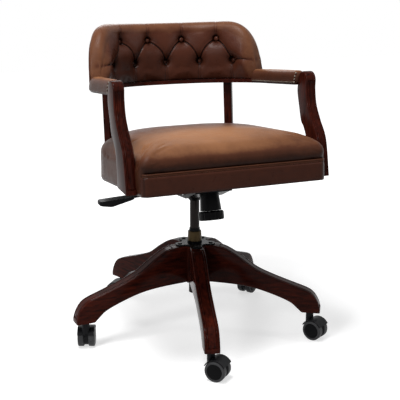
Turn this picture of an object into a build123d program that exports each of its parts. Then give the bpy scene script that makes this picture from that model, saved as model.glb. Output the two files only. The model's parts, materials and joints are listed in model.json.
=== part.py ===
from build123d import *
from math import atan, cos, degrees, pi, radians, sin
import os

# Desk chair with a tufted horseshoe back, padded arms, a crowned leather seat, a tilt
# mechanism on a gas column and a five-legged wooden base on twin-wheel casters.
# Millimetres. The origin is on the column axis at floor level, +Z is up and the seat
# faces -Y.

os.makedirs("parts", exist_ok=True)

# Fits
overrun = 5.0  # how far a cutting shape runs past what it cuts
running_gap = 0.05  # radial clearance of a shaft that turns or slides in its hole
snug_gap = 0.02  # radial clearance of a part that is fixed in its hole
soft_gap = 0.3  # clearance that soft work and seated pieces keep

# Base: five carved legs round a hub
leg_count = 5
base_yaw = 182.4  # direction of the first leg, degrees from +X
leg_reach = 324.0
leg_width = 36.0
leg_top_height = 231.0
leg_root_underside = 136.0
leg_foot_underside = 70.0
leg_foot_length = 50.0
leg_shoulder_reach = 55.0
leg_edge_radius = 4.0
leg_panel_width = 20.0
leg_panel_rise = 1.8
leg_panel_depth = 6.0
toe_inset = 3.0
leg_slope_shares = ((0.1, 0.957), (0.23, 0.83), (0.38, 0.655), (0.53, 0.545), (0.72, 0.433))
leg_crest_shares = ((0.0, 1.0), *leg_slope_shares, (0.88, 0.34))
leg_nose_shares = ((0.955, 0.2), (0.992, 0.05))
leg_belly_shares = ((0.95, 0.17), (0.885, 0.365), (0.742, 0.59), (0.525, 0.835), (0.303, 0.952))
leg_panel_shares = ((0.03, 0.989), *leg_slope_shares, (0.865, 0.351))
hub_apothem = 30.0
plate_thickness = 4.0
plate_core_radius = 33.0
plate_lobe_radius = 14.0
plate_lobe_reach = 38.0
plate_notch_radius = 5.0
plate_boss_radius = 18.5
plate_boss_height = 9.0
plate_edge = 1.0
screw_reach = 41.0
screw_radius = 2.5
screw_length = 22.0
screw_head_radius = 5.5
screw_head_height = 2.5
screw_head_taper = 20.0  # degrees
screw_gap = 0.1

# Casters: a socket in each foot, a hood on a stem, two wheels on one axle
stem_inset = 29.0  # from the toe to the stem
stem_reach = leg_reach - stem_inset
stem_radius = 5.5
stem_length = 62.0
socket_wall = 1.5
socket_depth = 36.0
socket_flange_radius = 11.0
socket_flange_thickness = 2.0
caster_yaws = (66.9, -48.0, -60.0, 35.0, 140.0)  # way each caster trails, degrees from +X
caster_trail = 17.0
wheel_radius = 25.0
wheel_width = 15.0
wheel_edge = 3.0
tread_depth = 6.0
tread_step = 1.5
cap_radius = 9.0
wheel_gap = 0.6  # running space between a wheel and the hood's web
web_width = 10.0
web_radius = 21.0
hood_clearance = 1.2
hood_wall = 2.0
hood_start = 25.0  # degrees above the axle's level, on the stem's side
hood_sweep = 125.0
boss_radius = 9.5
boss_height = 27.0
boss_drop = 1.0  # from the socket's flange to the top of the stem boss
axle_radius = 3.0
axle_inset = 3.0

# Gas column
tube_radius = 15.0
tube_wall = 1.75
tube_bottom = 108.0
tube_floor = 6.0
sleeve_bottom = 240.0
sleeve_height = 25.0
sleeve_bottom_radius = 17.8
sleeve_top_radius = 16.8
sleeve_chamfer = 1.0
bush_length = 50.0
collar_height = 8.0
collar_bottom_radius = 14.2
collar_top_radius = 12.9
cylinder_radius = 12.0
cylinder_wall = 1.8
cylinder_top = 366.0
cylinder_length = 182.0
cylinder_bottom = cylinder_top - cylinder_length
taper_length = 32.0
taper_drop = 0.6
rod_guide_length = 10.0
chamber_roof = 26.0
rod_radius = 5.0
rod_clip_radius = 8.5
rod_clip_thickness = 2.5
rod_tail = 4.0
bearing_radius = 12.0
bearing_height = 4.0
rod_shoulder_radius = 8.0
rod_shoulder_height = 3.0
piston_bottom = 238.0
piston_height = 12.0
valve_radius = 2.0
valve_stand = 3.0
valve_length = 18.0
valve_travel_room = 6.0

# Column bracket: the taper socket, the pivot tube and the nose over the spring
socket_height = 21.0
socket_bottom = cylinder_top - socket_height
socket_foot_radius = 14.0
socket_flare_height = 12.0
socket_plate_radius = 23.0
pivot_rise = 10.0
pivot_height = cylinder_top + pivot_rise
pivot_setback = -45.0
pivot_radius = 5.0
pivot_wall = 3.0
pivot_tube_half = 44.0
pivot_pin_half = 51.0
pivot_pin_edge = 0.8
arm_half_width = 11.0
arm_root = -10.0  # from the column's axis
arm_reach = 43.8  # from the pivot to the arm's tip
arm_low = -13.1  # from the pivot
arm_high = 19.4
arm_shares = (
    (0.974, 0.75),
    (0.829, 0.66),
    (0.539, 0.215),
    (0.21, 0.0),
    (0.0, 0.0),
    (0.0, 0.185),
    (0.092, 0.185),
    (0.263, 0.446),
    (0.46, 0.68),
    (0.842, 1.0),
    (1.0, 0.954),
)
nose_radius = 13.5
nose_thickness = 6.0
nose_hole_radius = 6.5
nose_rise = 62.0  # from the knob's middle to the nose's underside, along the knob's axis

# Seat frame of reference: everything above leans back by the rake
seat_stand = 34.0  # from the pivot to the seat's underside
seat_underside = pivot_height + seat_stand
rake = 4.5

# Seat outline, seen from above
seat_half_width = 226.0
seat_front_reach = 256.0
seat_rear_reach = 173.0
seat_front_corner = 16.0
seat_rear_corner = 150.0
apron_height = 43.0
apron_thickness = 3.7
frame_rail_width = 45.0
frame_rail_height = 36.0
frame_inner_bend = 8.0
deck_thickness = 10.0
deck_inset = 5.5
dust_thickness = 1.2
dust_inset = 8.0
cushion_height = 71.0
cushion_centre_setback = 40.0
cushion_shares = (
    (0.0, 0.975),
    (0.12, 0.998),
    (0.3, 1.0),
    (0.48, 0.975),
    (0.64, 0.915),
    (0.78, 0.815),
    (0.88, 0.68),
    (0.96, 0.47),
    (1.0, 0.22),
)
piping_radius = 3.0
piping_inset = 1.8
piping_start = 28.0  # degrees round the front corner, clear of the post

# Wooden battens under the seat and the tilt pan bolted to them
batten_spread = 88.0
batten_width = 40.0
batten_height = 14.0
batten_front = 168.0
batten_rear = 110.0
flange_thickness = 3.0
flange_half_width = 84.0
flange_front = 122.0
flange_rear = 76.0
flange_corner = 12.0
pan_half_width = 48.0
pan_wall = 2.5
pan_front = 118.0
pan_length = 190.0
pan_depth = 49.0
pan_corner = 7.0
pan_shares = ((0.0, 0.6), (0.07, 0.64), (0.33, 1.0), (0.81, 1.0), (1.0, 0.5))
pan_mouth_front = 52.0
pan_mouth_rear = 38.0
pan_mouth_half_width = 27.0
lever_slot_half_width = 11.0
lever_slot_low = 46.0
lever_slot_high = 19.0
bolt_spread = 74.0
bolt_front = 100.0
bolt_rear = 56.0
bolt_radius = 3.0
bolt_length = 13.0
bolt_head_radius = 6.0
bolt_head_height = 3.5
bolt_gap = 0.1

# Tension knob and spring, on an axis that leans forward of the seat's own
knob_reach = 55.2  # from the pivot to the knob's middle
knob_drop = 50.6
knob_lean = 10.0
knob_radius = 30.5
knob_height = 22.0
knob_edge = 4.0
knob_flutes = 12
knob_flute_radius = 6.0
knob_flute_depth = 1.0
housing_gap = 1.2
housing_foot_radius = 26.0
housing_taper = 4.5
housing_bore = 17.0
housing_floor = 3.0
housing_length = 49.0
tension_radius = 4.0
tension_length = 84.0
tension_seat_depth = 16.0
tension_collar_radius = 15.5
tension_collar_thickness = 3.0
spring_radius = 12.8
spring_wire = 4.0
spring_turns = 4.5

# Lift lever
fulcrum_reach = 20.0
fulcrum_rise = 5.8
fulcrum_height = cylinder_top + fulcrum_rise
fulcrum_radius = 2.5
lug_inner = 7.0
lug_thickness = 3.0
lug_half_length = 5.5
lug_cap = 5.2
lug_height = fulcrum_rise + lug_cap
lever_half_width = 6.0
lever_thickness = 5.0
lever_inner_reach = 5.0
lever_bend_reach = 46.0
paddle_root_reach = 160.0
paddle_tip_reach = 250.0
paddle_drop = 10.5
paddle_root_drop = 3.5
paddle_half_width = 15.0
paddle_thickness = 10.0
paddle_edge = 4.5
paddle_corner = 11.0

# Posts
post_thickness = 26.0
post_height = 247.0
post_setback = 32.0
post_foot_depth = 64.0
post_sweep = 60.0
post_rear_sweep = 42.0
post_foot_front_rise = 3.0
post_foot_rear_rise = 13.0
post_edge_radius = 3.0
post_panel_width = 13.0
post_panel_rise = 1.5
post_panel_depth = 5.0
post_front_shares = ((0.19, 0.356), (0.617, 0.538), (0.917, 0.68), (1.0, 0.82), (0.967, 0.915))
post_rear_shares = (
    (0.857, 0.915),
    (1.0, 0.81),
    (0.833, 0.664),
    (0.62, 0.518),
    (0.31, 0.453),
    (0.02, 0.324),
)
rear_post_width = 22.0
rear_post_depth = 19.0
rear_post_angle = 55.0
rear_post_edge = 2.0
rear_post_foot = 6.0

# Horseshoe rail, pads and back
rail_radius = 207.0
rail_flat = 20.0  # half of the straight stretch at the middle of the back
rail_centre_setback = 3.0
rail_half_width = 21.0
rail_underside = 214.0
rail_thickness = 10.0
rail_end_inner = 222.0
rail_end_outer = 249.0
rail_end_setback = 135.0
pad_skirt = 2.5
pad_skirt_drop = 7.0
pad_crown = 24.0
pad_crown_arc = 12.0
pad_bend_steps = 3
back_end = 270.0  # along the rail's centre line from the middle of the back
back_height = 149.0
back_full_run = 168.0
back_roll_run = 102.4
back_roll_power = 2.6  # over 2, the crest stays high and then drops faster than an ellipse
back_outer = 20.0
back_outer_drop = 15.0
back_inner_drop = 22.0
back_crest_offset = 1.0
back_top_inner = 21.0
back_foot_inner = 21.0
back_lobe = 29.0
back_pleat_lobe = 22.0
back_valley = 14.0
back_dimple = 8.0
back_end_lobe = 25.0
back_small_rise = 62.0  # lower than this, the crest's drops shrink with the height
back_bulge_share = 0.3
back_middle_share = 0.5
button_near_share = 0.3
button_pitch = 98.0
upper_row_rise = 104.0
lower_row_rise = 48.0
end_valley_share = 0.45
back_end_shares = (0.216, 0.432, 0.636, 0.79, 0.89, 0.955, 1.0)
button_radius = 6.5
button_height = 5.0
button_dome = 2.0
button_sink = 3.0
pocket_gap = 0.6
shell_thickness = 3.0
shell_drop = 22.0

seat_plane = Plane(
    origin=(0, 0, seat_underside),
    x_dir=(1, 0, 0),
    z_dir=(0, sin(radians(rake)), cos(radians(rake))),
)
pivot_spot = seat_plane.to_local_coords(Vector(0, pivot_setback, pivot_height))
rail_top = rail_underside + rail_thickness
frame_bottom = dust_thickness + soft_gap
deck_bottom = frame_bottom + frame_rail_height
cushion_bottom = deck_bottom + deck_thickness + soft_gap
back_base = rail_top + soft_gap
last_button = 2 * button_pitch
bolt_spots = [(side * bolt_spread, back) for back in (-bolt_front, bolt_rear) for side in (1, -1)]
batten_spots = [(side * batten_spread, (batten_rear - batten_front) / 2) for side in (1, -1)]
lug_spots = [(-fulcrum_reach, side * (lug_inner + lug_thickness / 2)) for side in (1, -1)]
post_inner = seat_half_width + soft_gap
post_outer = post_inner + post_thickness


def at_share(share, low, high):
    """Value at a share of the way from low to high."""
    return low + share * (high - low)


def radial_plane(yaw):
    """Upright plane through the column axis: X outward, Y up."""
    turn = radians(yaw)
    return Plane(origin=(0, 0, 0), x_dir=(cos(turn), sin(turn), 0), z_dir=(sin(turn), -cos(turn), 0))


def seat_side_plane(across, back=0):
    """Plane along the seat's side: X towards the back, Y up the seat."""
    return Plane(
        origin=seat_plane.from_local_coords((across, back, 0)),
        x_dir=seat_plane.y_dir,
        z_dir=seat_plane.x_dir,
    )


def finish(piece, name):
    """Label a finished piece and write its file."""
    piece.label = name
    export_step(piece, f"parts/{name}.step")


def leg_crest(rise, shares):
    """Points along the top of a leg, lifted by a rise."""
    return [
        (
            at_share(across, leg_shoulder_reach, leg_reach),
            at_share(up, leg_foot_underside, leg_top_height) + rise,
        )
        for across, up in shares
    ]


def leg_belly():
    """Points along the underside of a leg, from the heel of the foot to the root."""
    heel = leg_reach - leg_foot_length
    return [
        (at_share(across, hub_apothem, heel), at_share(up, leg_foot_underside, leg_root_underside))
        for across, up in leg_belly_shares
    ]


def seat_outline(inset=0.0, share=1.0):
    """Seat outline drawn in by an inset, then shrunk about the cushion's middle."""
    half = share * (seat_half_width - inset)
    front = -cushion_centre_setback + share * (cushion_centre_setback + inset - seat_front_reach)
    rear = -cushion_centre_setback + share * (cushion_centre_setback - inset + seat_rear_reach)
    front_bend = share * max(seat_front_corner - inset, frame_inner_bend)
    rear_bend = share * (seat_rear_corner - inset)
    return FilletPolyline(
        (-half, front),
        (half, front),
        (half, rear),
        (-half, rear),
        radius=[front_bend, front_bend, rear_bend, rear_bend],
        close=True,
    )


def horseshoe(spread):
    """Closed plan of the rail, widened by a spread on both edges."""
    outer = rail_radius + rail_half_width + spread
    inner = rail_radius - rail_half_width - spread
    end_outer = rail_end_outer + spread
    end_inner = rail_end_inner - spread
    right_out = CenterArc((rail_flat, -rail_centre_setback), outer, 0, 90)
    left_out = CenterArc((-rail_flat, -rail_centre_setback), outer, 90, 90)
    right_in = CenterArc((rail_flat, -rail_centre_setback), inner, 0, 90)
    left_in = CenterArc((-rail_flat, -rail_centre_setback), inner, 90, 90)
    Line(right_out @ 1, left_out @ 0)
    Line(right_in @ 1, left_in @ 0)
    Polyline(right_out @ 0, (end_outer, -rail_end_setback), (end_inner, -rail_end_setback), right_in @ 0)
    Polyline(left_out @ 1, (-end_outer, -rail_end_setback), (-end_inner, -rail_end_setback), left_in @ 1)


def pan_profile(top):
    """Closed side view of the pan, open at a height above its flange."""
    FilletPolyline(
        (-pan_front, top),
        *[(at_share(a, -pan_front, pan_length - pan_front), -b * pan_depth) for a, b in pan_shares],
        (pan_length - pan_front, top),
        radius=[0] + [pan_corner] * len(pan_shares) + [0],
        close=True,
    )


def post_front_points(shift):
    """Points up the front of a post, moved back by a shift."""
    start = post_setback - seat_front_reach + shift
    return [(start, post_foot_front_rise)] + [
        (start + across * post_sweep, up * post_height) for across, up in post_front_shares
    ]


def post_outline():
    """Closed side view of a front post with its rolled knuckle."""
    heel = post_setback - seat_front_reach + post_foot_depth
    front = Spline(*post_front_points(0))
    rear = Spline(
        *[(heel + across * post_rear_sweep, up * post_height) for across, up in post_rear_shares],
        (heel, post_foot_rear_rise),
    )
    crown = ((front @ 1).X + (rear @ 0).X) / 2
    ThreePointArc(front @ 1, (crown, post_height), rear @ 0)
    Line(rear @ 1, front @ 0)


def back_plane(station):
    """Section plane of the back at a distance along the rail: X inwards, Y up."""
    side = -1 if station < 0 else 1
    turn = max(abs(station) - rail_flat, 0) / rail_radius
    straight = min(abs(station), rail_flat)
    across = side * (straight + rail_radius * sin(turn))
    back = rail_radius * cos(turn) - rail_centre_setback
    inward = seat_plane.x_dir * (-side * sin(turn)) + seat_plane.y_dir * -cos(turn)
    return Plane(
        origin=seat_plane.from_local_coords((across, back, 0)),
        x_dir=inward,
        z_dir=inward.cross(seat_plane.z_dir),
    )


def crest_rise(station):
    """Height of the back above its base at a distance along the rail."""
    run = max(abs(station) - back_full_run, 0) / back_roll_run
    return back_height * (1 - run**back_roll_power) ** (1 / back_roll_power)


def crest_scale(station):
    """Share of the crest's drops that fits the back's height there."""
    return min(1.0, crest_rise(station) / back_small_rise)


def button_spots():
    """Stations and rises of the nine buttons."""
    lower = [(index * button_pitch, lower_row_rise) for index in (-2, -1, 0, 1, 2)]
    upper = [((index + 0.5) * button_pitch, upper_row_rise) for index in (-2, -1, 0, 1)]
    return lower + upper


def button_plane(station, rise, depth):
    """Plane across a button's axis, a depth inwards of its dimple."""
    section = back_plane(station)
    return Plane(
        origin=section.from_local_coords((back_dimple + depth, back_base + rise, 0)),
        x_dir=seat_plane.z_dir,
        z_dir=section.x_dir,
    )


def bulge(start, end, reach):
    """Crown of the arc between two points, no fuller than its chord allows."""
    middle = (start[0] + end[0]) / 2
    fullest = back_bulge_share * abs(start[1] - end[1])
    return (middle + min(reach - middle, fullest), (start[1] + end[1]) / 2)


def back_section(station):
    """Closed section of the back: crest, two lobes and the pleat between them."""
    rise = crest_rise(station)
    scale = crest_scale(station)
    steps = abs(station) / (button_pitch / 2)
    row_share = abs(steps - 2 * round(steps / 2))
    valley = at_share(row_share, lower_row_rise, upper_row_rise)
    button_near = abs(steps - round(steps)) < button_near_share
    valley_in = back_dimple if button_near else back_valley
    upper_lobe = back_pleat_lobe if button_near and row_share > back_middle_share else back_lobe
    lower_lobe = back_pleat_lobe if button_near and row_share < back_middle_share else back_lobe
    if abs(station) > last_button:
        valley = min(lower_row_rise, end_valley_share * rise)
        valley_in = back_valley
        upper_lobe = back_end_lobe
        lower_lobe = back_end_lobe
    outer_top = (-back_outer, back_base + rise - back_outer_drop * scale)
    inner_top = (back_top_inner, back_base + rise - back_inner_drop * scale)
    pleat = (valley_in, back_base + valley)
    foot = (back_foot_inner, back_base)
    Line((-back_outer, back_base), outer_top)
    ThreePointArc(outer_top, (back_crest_offset, back_base + rise), inner_top)
    ThreePointArc(inner_top, bulge(inner_top, pleat, upper_lobe), pleat)
    ThreePointArc(pleat, bulge(pleat, foot, lower_lobe), foot)
    Line(foot, (-back_outer, back_base))


# Legs
for index in range(leg_count):
    yaw = base_yaw + index * 360 / leg_count
    side = radial_plane(yaw)
    turn = radians(yaw)
    with BuildPart() as leg:
        with BuildSketch(side):
            with BuildLine():
                crest = Spline(*leg_crest(0, leg_crest_shares))
                nose = ThreePointArc(crest @ 1, *leg_crest(0, leg_nose_shares))
                toe = Line(nose @ 1, (leg_reach - toe_inset, leg_foot_underside))
                heel = Line(toe @ 1, (leg_reach - leg_foot_length, leg_foot_underside))
                belly = Spline(heel @ 1, *leg_belly(), (hub_apothem, leg_root_underside))
                Polyline(
                    belly @ 1,
                    (hub_apothem, leg_top_height),
                    crest @ 0,
                )
            make_face()
        extrude(amount=leg_width / 2, both=True)
        bends = leg.edges().filter_by(GeomType.BSPLINE) + leg.edges().filter_by(GeomType.CIRCLE)
        fillet(bends, leg_edge_radius)
        with BuildSketch(side):
            with BuildLine():
                upper = Spline(*leg_crest(leg_panel_rise, leg_panel_shares))
                lower = Spline(*leg_crest(-leg_panel_depth, leg_panel_shares))
                Line(upper @ 0, lower @ 0)
                Line(upper @ 1, lower @ 1)
            make_face()
        extrude(amount=leg_panel_width / 2, both=True)
        with BuildSketch(Plane.XY.offset(leg_foot_underside)):
            with Locations((stem_reach * cos(turn), stem_reach * sin(turn))):
                Circle(stem_radius + running_gap + socket_wall + snug_gap)
        extrude(amount=socket_depth + soft_gap, mode=Mode.SUBTRACT)
        with BuildSketch(Plane.XY.offset(leg_top_height)):
            with Locations((screw_reach * cos(turn), screw_reach * sin(turn))):
                Circle(screw_radius + screw_gap)
        extrude(amount=-screw_length - soft_gap, mode=Mode.SUBTRACT)
    finish(leg.part, f"leg_{index + 1}")

# Hub block between the leg roots
with BuildPart() as hub:
    with BuildSketch(Plane.XY.offset(leg_root_underside)):
        RegularPolygon(
            radius=hub_apothem,
            side_count=leg_count,
            major_radius=False,
            rotation=base_yaw - 180 / leg_count,
        )
        Circle(tube_radius + snug_gap, mode=Mode.SUBTRACT)
    extrude(amount=leg_top_height - leg_root_underside)
finish(hub.part, "hub")

# Star plate that clamps the leg roots
with BuildPart() as hub_cover:
    with BuildSketch(Plane.XY.offset(leg_top_height)) as star:
        Circle(plate_core_radius)
        with PolarLocations(plate_lobe_reach, leg_count, start_angle=base_yaw):
            Circle(plate_lobe_radius)
        fillet(star.vertices(), plate_notch_radius)
        Circle(tube_radius + snug_gap, mode=Mode.SUBTRACT)
        with PolarLocations(screw_reach, leg_count, start_angle=base_yaw):
            Circle(screw_radius + screw_gap, mode=Mode.SUBTRACT)
    extrude(amount=plate_thickness)
    with BuildSketch(Plane.XY.offset(leg_top_height + plate_thickness)):
        Circle(plate_boss_radius)
        Circle(tube_radius + snug_gap, mode=Mode.SUBTRACT)
    extrude(amount=plate_boss_height - plate_thickness)
    chamfer(hub_cover.faces().sort_by(Axis.Z)[-1].outer_wire().edges(), plate_edge)
finish(hub_cover.part, "hub_cover")

# Screws through the plate into the legs
with BuildPart() as leg_bolts:
    plate_top = leg_top_height + plate_thickness
    with BuildSketch(Plane.XY.offset(plate_top)):
        with PolarLocations(screw_reach, leg_count, start_angle=base_yaw):
            Circle(screw_radius)
    extrude(amount=-plate_thickness - screw_length)
    with BuildSketch(Plane.XY.offset(plate_top)):
        with PolarLocations(screw_reach, leg_count, start_angle=base_yaw):
            Circle(screw_head_radius)
    extrude(amount=screw_head_height, taper=screw_head_taper)
finish(leg_bolts.part, "leg_bolts")

# Steel sockets that hold the caster stems
with BuildPart() as caster_sockets:
    with BuildSketch(Plane.XY.offset(leg_foot_underside)):
        with PolarLocations(stem_reach, leg_count, start_angle=base_yaw):
            Circle(stem_radius + running_gap + socket_wall)
            Circle(stem_radius + running_gap, mode=Mode.SUBTRACT)
    extrude(amount=socket_depth)
    with BuildSketch(Plane.XY.offset(leg_foot_underside)):
        with PolarLocations(stem_reach, leg_count, start_angle=base_yaw):
            Circle(socket_flange_radius)
            Circle(stem_radius + running_gap, mode=Mode.SUBTRACT)
    extrude(amount=-socket_flange_thickness)
finish(caster_sockets.part, "caster_sockets")

# Casters
boss_top = leg_foot_underside - socket_flange_thickness - boss_drop
wheel_offset = web_width / 2 + wheel_gap
hood_inner = wheel_radius + hood_clearance
hood_outer = hood_inner + hood_wall
for index in range(leg_count):
    leg_turn = radians(base_yaw + index * 360 / leg_count)
    trail_turn = radians(caster_yaws[index])
    stem_at = Vector(stem_reach * cos(leg_turn), stem_reach * sin(leg_turn), 0)
    trail = Vector(cos(trail_turn), sin(trail_turn), 0)
    axle_at = stem_at + trail * caster_trail + Vector(0, 0, wheel_radius)
    # Side view of the caster: X from the axle towards the stem, Y up
    web_plane = Plane(origin=axle_at, x_dir=-trail, z_dir=(-trail).cross(Vector(0, 0, 1)))
    boss_plane = Plane(origin=stem_at + Vector(0, 0, boss_top))
    with BuildPart() as caster_hood:
        with BuildSketch(web_plane):
            with BuildLine():
                outer_arc = CenterArc((0, 0), hood_outer, hood_start, hood_sweep)
                Line(outer_arc @ 1, (0, 0))
                Line((0, 0), outer_arc @ 0)
            make_face()
        extrude(amount=wheel_offset + wheel_width, both=True)
        with BuildSketch(boss_plane):
            Circle(boss_radius)
        extrude(amount=-boss_height)
        with BuildSketch(web_plane):
            Circle(hood_inner)
        extrude(amount=wheel_offset + wheel_width + overrun, both=True, mode=Mode.SUBTRACT)
        with BuildSketch(web_plane):
            Circle(web_radius)
            with BuildLine():
                inner_arc = CenterArc((0, 0), hood_inner + hood_wall / 2, hood_start, hood_sweep)
                Line(inner_arc @ 1, (0, 0))
                Line((0, 0), inner_arc @ 0)
            make_face()
        extrude(amount=web_width / 2, both=True)
        with BuildSketch(web_plane):
            Circle(axle_radius + snug_gap)
        extrude(amount=web_width, both=True, mode=Mode.SUBTRACT)
        with BuildSketch(boss_plane):
            Circle(stem_radius + snug_gap)
        extrude(amount=-boss_height, mode=Mode.SUBTRACT)
    finish(caster_hood.part, f"caster_{index + 1}_hood")
    with BuildPart() as caster_pins:
        with BuildSketch(Plane(origin=stem_at + Vector(0, 0, boss_top - boss_height))):
            Circle(stem_radius)
        extrude(amount=stem_length)
        with BuildSketch(web_plane):
            Circle(axle_radius)
        extrude(amount=wheel_offset + wheel_width - axle_inset, both=True)
    finish(caster_pins.part, f"caster_{index + 1}_pins")
    for side_name, side_sign in (("left", -1), ("right", 1)):
        out_dir = web_plane.z_dir * side_sign
        inner_face = Plane(origin=axle_at + out_dir * wheel_offset, x_dir=-trail, z_dir=out_dir)
        outer_face = inner_face.offset(wheel_width)
        with BuildPart() as wheel:
            with BuildSketch(inner_face):
                Circle(wheel_radius)
            extrude(amount=wheel_width)
            fillet(wheel.edges().filter_by(GeomType.CIRCLE), wheel_edge)
            with BuildSketch(outer_face):
                Circle(wheel_radius - tread_depth)
                Circle(cap_radius, mode=Mode.SUBTRACT)
            extrude(amount=-tread_step, mode=Mode.SUBTRACT)
            with BuildSketch(inner_face):
                Circle(axle_radius + running_gap)
            extrude(amount=wheel_width - axle_inset + soft_gap, mode=Mode.SUBTRACT)
        finish(wheel.part, f"caster_{index + 1}_wheel_{side_name}")

# Outer tube of the column, with the floor that carries the rod
with BuildPart() as outer_tube:
    with BuildSketch(Plane.XY.offset(tube_bottom - tube_floor)):
        Circle(tube_radius)
    extrude(amount=sleeve_bottom + sleeve_height - tube_bottom + tube_floor)
    with BuildSketch(Plane.XY.offset(tube_bottom)):
        Circle(tube_radius - tube_wall)
    extrude(amount=sleeve_bottom + sleeve_height, mode=Mode.SUBTRACT)
    with BuildSketch(Plane.XY.offset(tube_bottom)):
        Circle(rod_radius + running_gap)
    extrude(amount=-tube_floor - overrun, mode=Mode.SUBTRACT)
finish(outer_tube.part, "outer_tube")

# Brass sleeve at the top of the tube
with BuildPart() as brass_sleeve:
    with BuildSketch(Plane.XY.offset(sleeve_bottom)):
        Circle(sleeve_bottom_radius)
    with BuildSketch(Plane.XY.offset(sleeve_bottom + sleeve_height)):
        Circle(sleeve_top_radius)
    loft()
    chamfer(brass_sleeve.faces().sort_by(Axis.Z)[-1].edges(), sleeve_chamfer)
    with BuildSketch(Plane.XY.offset(sleeve_bottom)):
        Circle(tube_radius + snug_gap)
    extrude(amount=sleeve_height + overrun, mode=Mode.SUBTRACT)
finish(brass_sleeve.part, "brass_sleeve")

# Guide bush that the gas cylinder slides in, with its collar above the tube
with BuildPart() as guide_bush:
    tube_top = sleeve_bottom + sleeve_height
    with BuildSketch(Plane.XY.offset(tube_top)):
        Circle(collar_bottom_radius)
    with BuildSketch(Plane.XY.offset(tube_top + collar_height)):
        Circle(collar_top_radius)
    loft()
    with BuildSketch(Plane.XY.offset(tube_top)):
        Circle(tube_radius - tube_wall - snug_gap)
    extrude(amount=collar_height - bush_length)
    with BuildSketch(Plane.XY.offset(tube_top + collar_height + overrun)):
        Circle(cylinder_radius + running_gap)
    extrude(amount=-bush_length - overrun - overrun, mode=Mode.SUBTRACT)
finish(guide_bush.part, "guide_bush")

# Thrust bearing on the tube's floor
with BuildPart() as thrust_bearing:
    with BuildSketch(Plane.XY.offset(tube_bottom)):
        Circle(bearing_radius)
        Circle(rod_radius + running_gap, mode=Mode.SUBTRACT)
    extrude(amount=bearing_height)
finish(thrust_bearing.part, "thrust_bearing")

# Piston rod: clip under the floor, shoulder on the bearing, piston at the top
with BuildPart() as piston_rod:
    rod_foot = tube_bottom - tube_floor - running_gap - rod_clip_thickness - rod_tail
    with BuildSketch(Plane.XY.offset(rod_foot)):
        Circle(rod_radius)
    extrude(amount=piston_bottom - rod_foot)
    with BuildSketch(Plane.XY.offset(rod_foot + rod_tail)):
        Circle(rod_clip_radius)
    extrude(amount=rod_clip_thickness)
    with BuildSketch(Plane.XY.offset(tube_bottom + bearing_height + running_gap)):
        Circle(rod_shoulder_radius)
    extrude(amount=rod_shoulder_height)
    with BuildSketch(Plane.XY.offset(piston_bottom)):
        Circle(cylinder_radius - cylinder_wall - running_gap)
    extrude(amount=piston_height)
finish(piston_rod.part, "piston_rod")

# Gas cylinder with its tapered top
taper_angle = degrees(atan(taper_drop / taper_length))
with BuildPart() as gas_cylinder:
    with BuildSketch(Plane.XY.offset(cylinder_bottom)):
        Circle(cylinder_radius)
    extrude(amount=cylinder_top - taper_length - cylinder_bottom)
    with BuildSketch(Plane.XY.offset(cylinder_top - taper_length)):
        Circle(cylinder_radius)
    extrude(amount=taper_length, taper=taper_angle)
    with BuildSketch(Plane.XY.offset(cylinder_bottom + rod_guide_length)):
        Circle(cylinder_radius - cylinder_wall)
    extrude(
        amount=cylinder_top - cylinder_bottom - rod_guide_length - chamber_roof,
        mode=Mode.SUBTRACT,
    )
    with BuildSketch(Plane.XY.offset(cylinder_bottom - overrun)):
        Circle(rod_radius + running_gap)
    extrude(amount=rod_guide_length + overrun + overrun, mode=Mode.SUBTRACT)
    with BuildSketch(Plane.XY.offset(cylinder_top + overrun)):
        Circle(valve_radius + running_gap)
    extrude(amount=-valve_length - valve_travel_room - overrun, mode=Mode.SUBTRACT)
finish(gas_cylinder.part, "gas_cylinder")

# Valve pin in the top of the cylinder
with BuildPart() as valve_pin:
    with BuildSketch(Plane.XY.offset(cylinder_top + valve_stand)):
        Circle(valve_radius)
    extrude(amount=-valve_length)
finish(valve_pin.part, "valve_pin")

# Axis of the tension knob
lean_turn = radians(knob_lean)
knob_axis = seat_plane.y_dir * sin(lean_turn) + seat_plane.z_dir * cos(lean_turn)
knob_plane = Plane(
    origin=seat_plane.from_local_coords((0, pivot_spot.Y - knob_reach, pivot_spot.Z - knob_drop)),
    x_dir=(1, 0, 0),
    z_dir=knob_axis,
)
across_plane = Plane(origin=(0, 0, 0), x_dir=(0, 1, 0), z_dir=(1, 0, 0))
fulcrum_plane = Plane(origin=(-fulcrum_reach, 0, fulcrum_height), x_dir=(1, 0, 0), z_dir=(0, -1, 0))
knob_top = knob_height / 2

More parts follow.
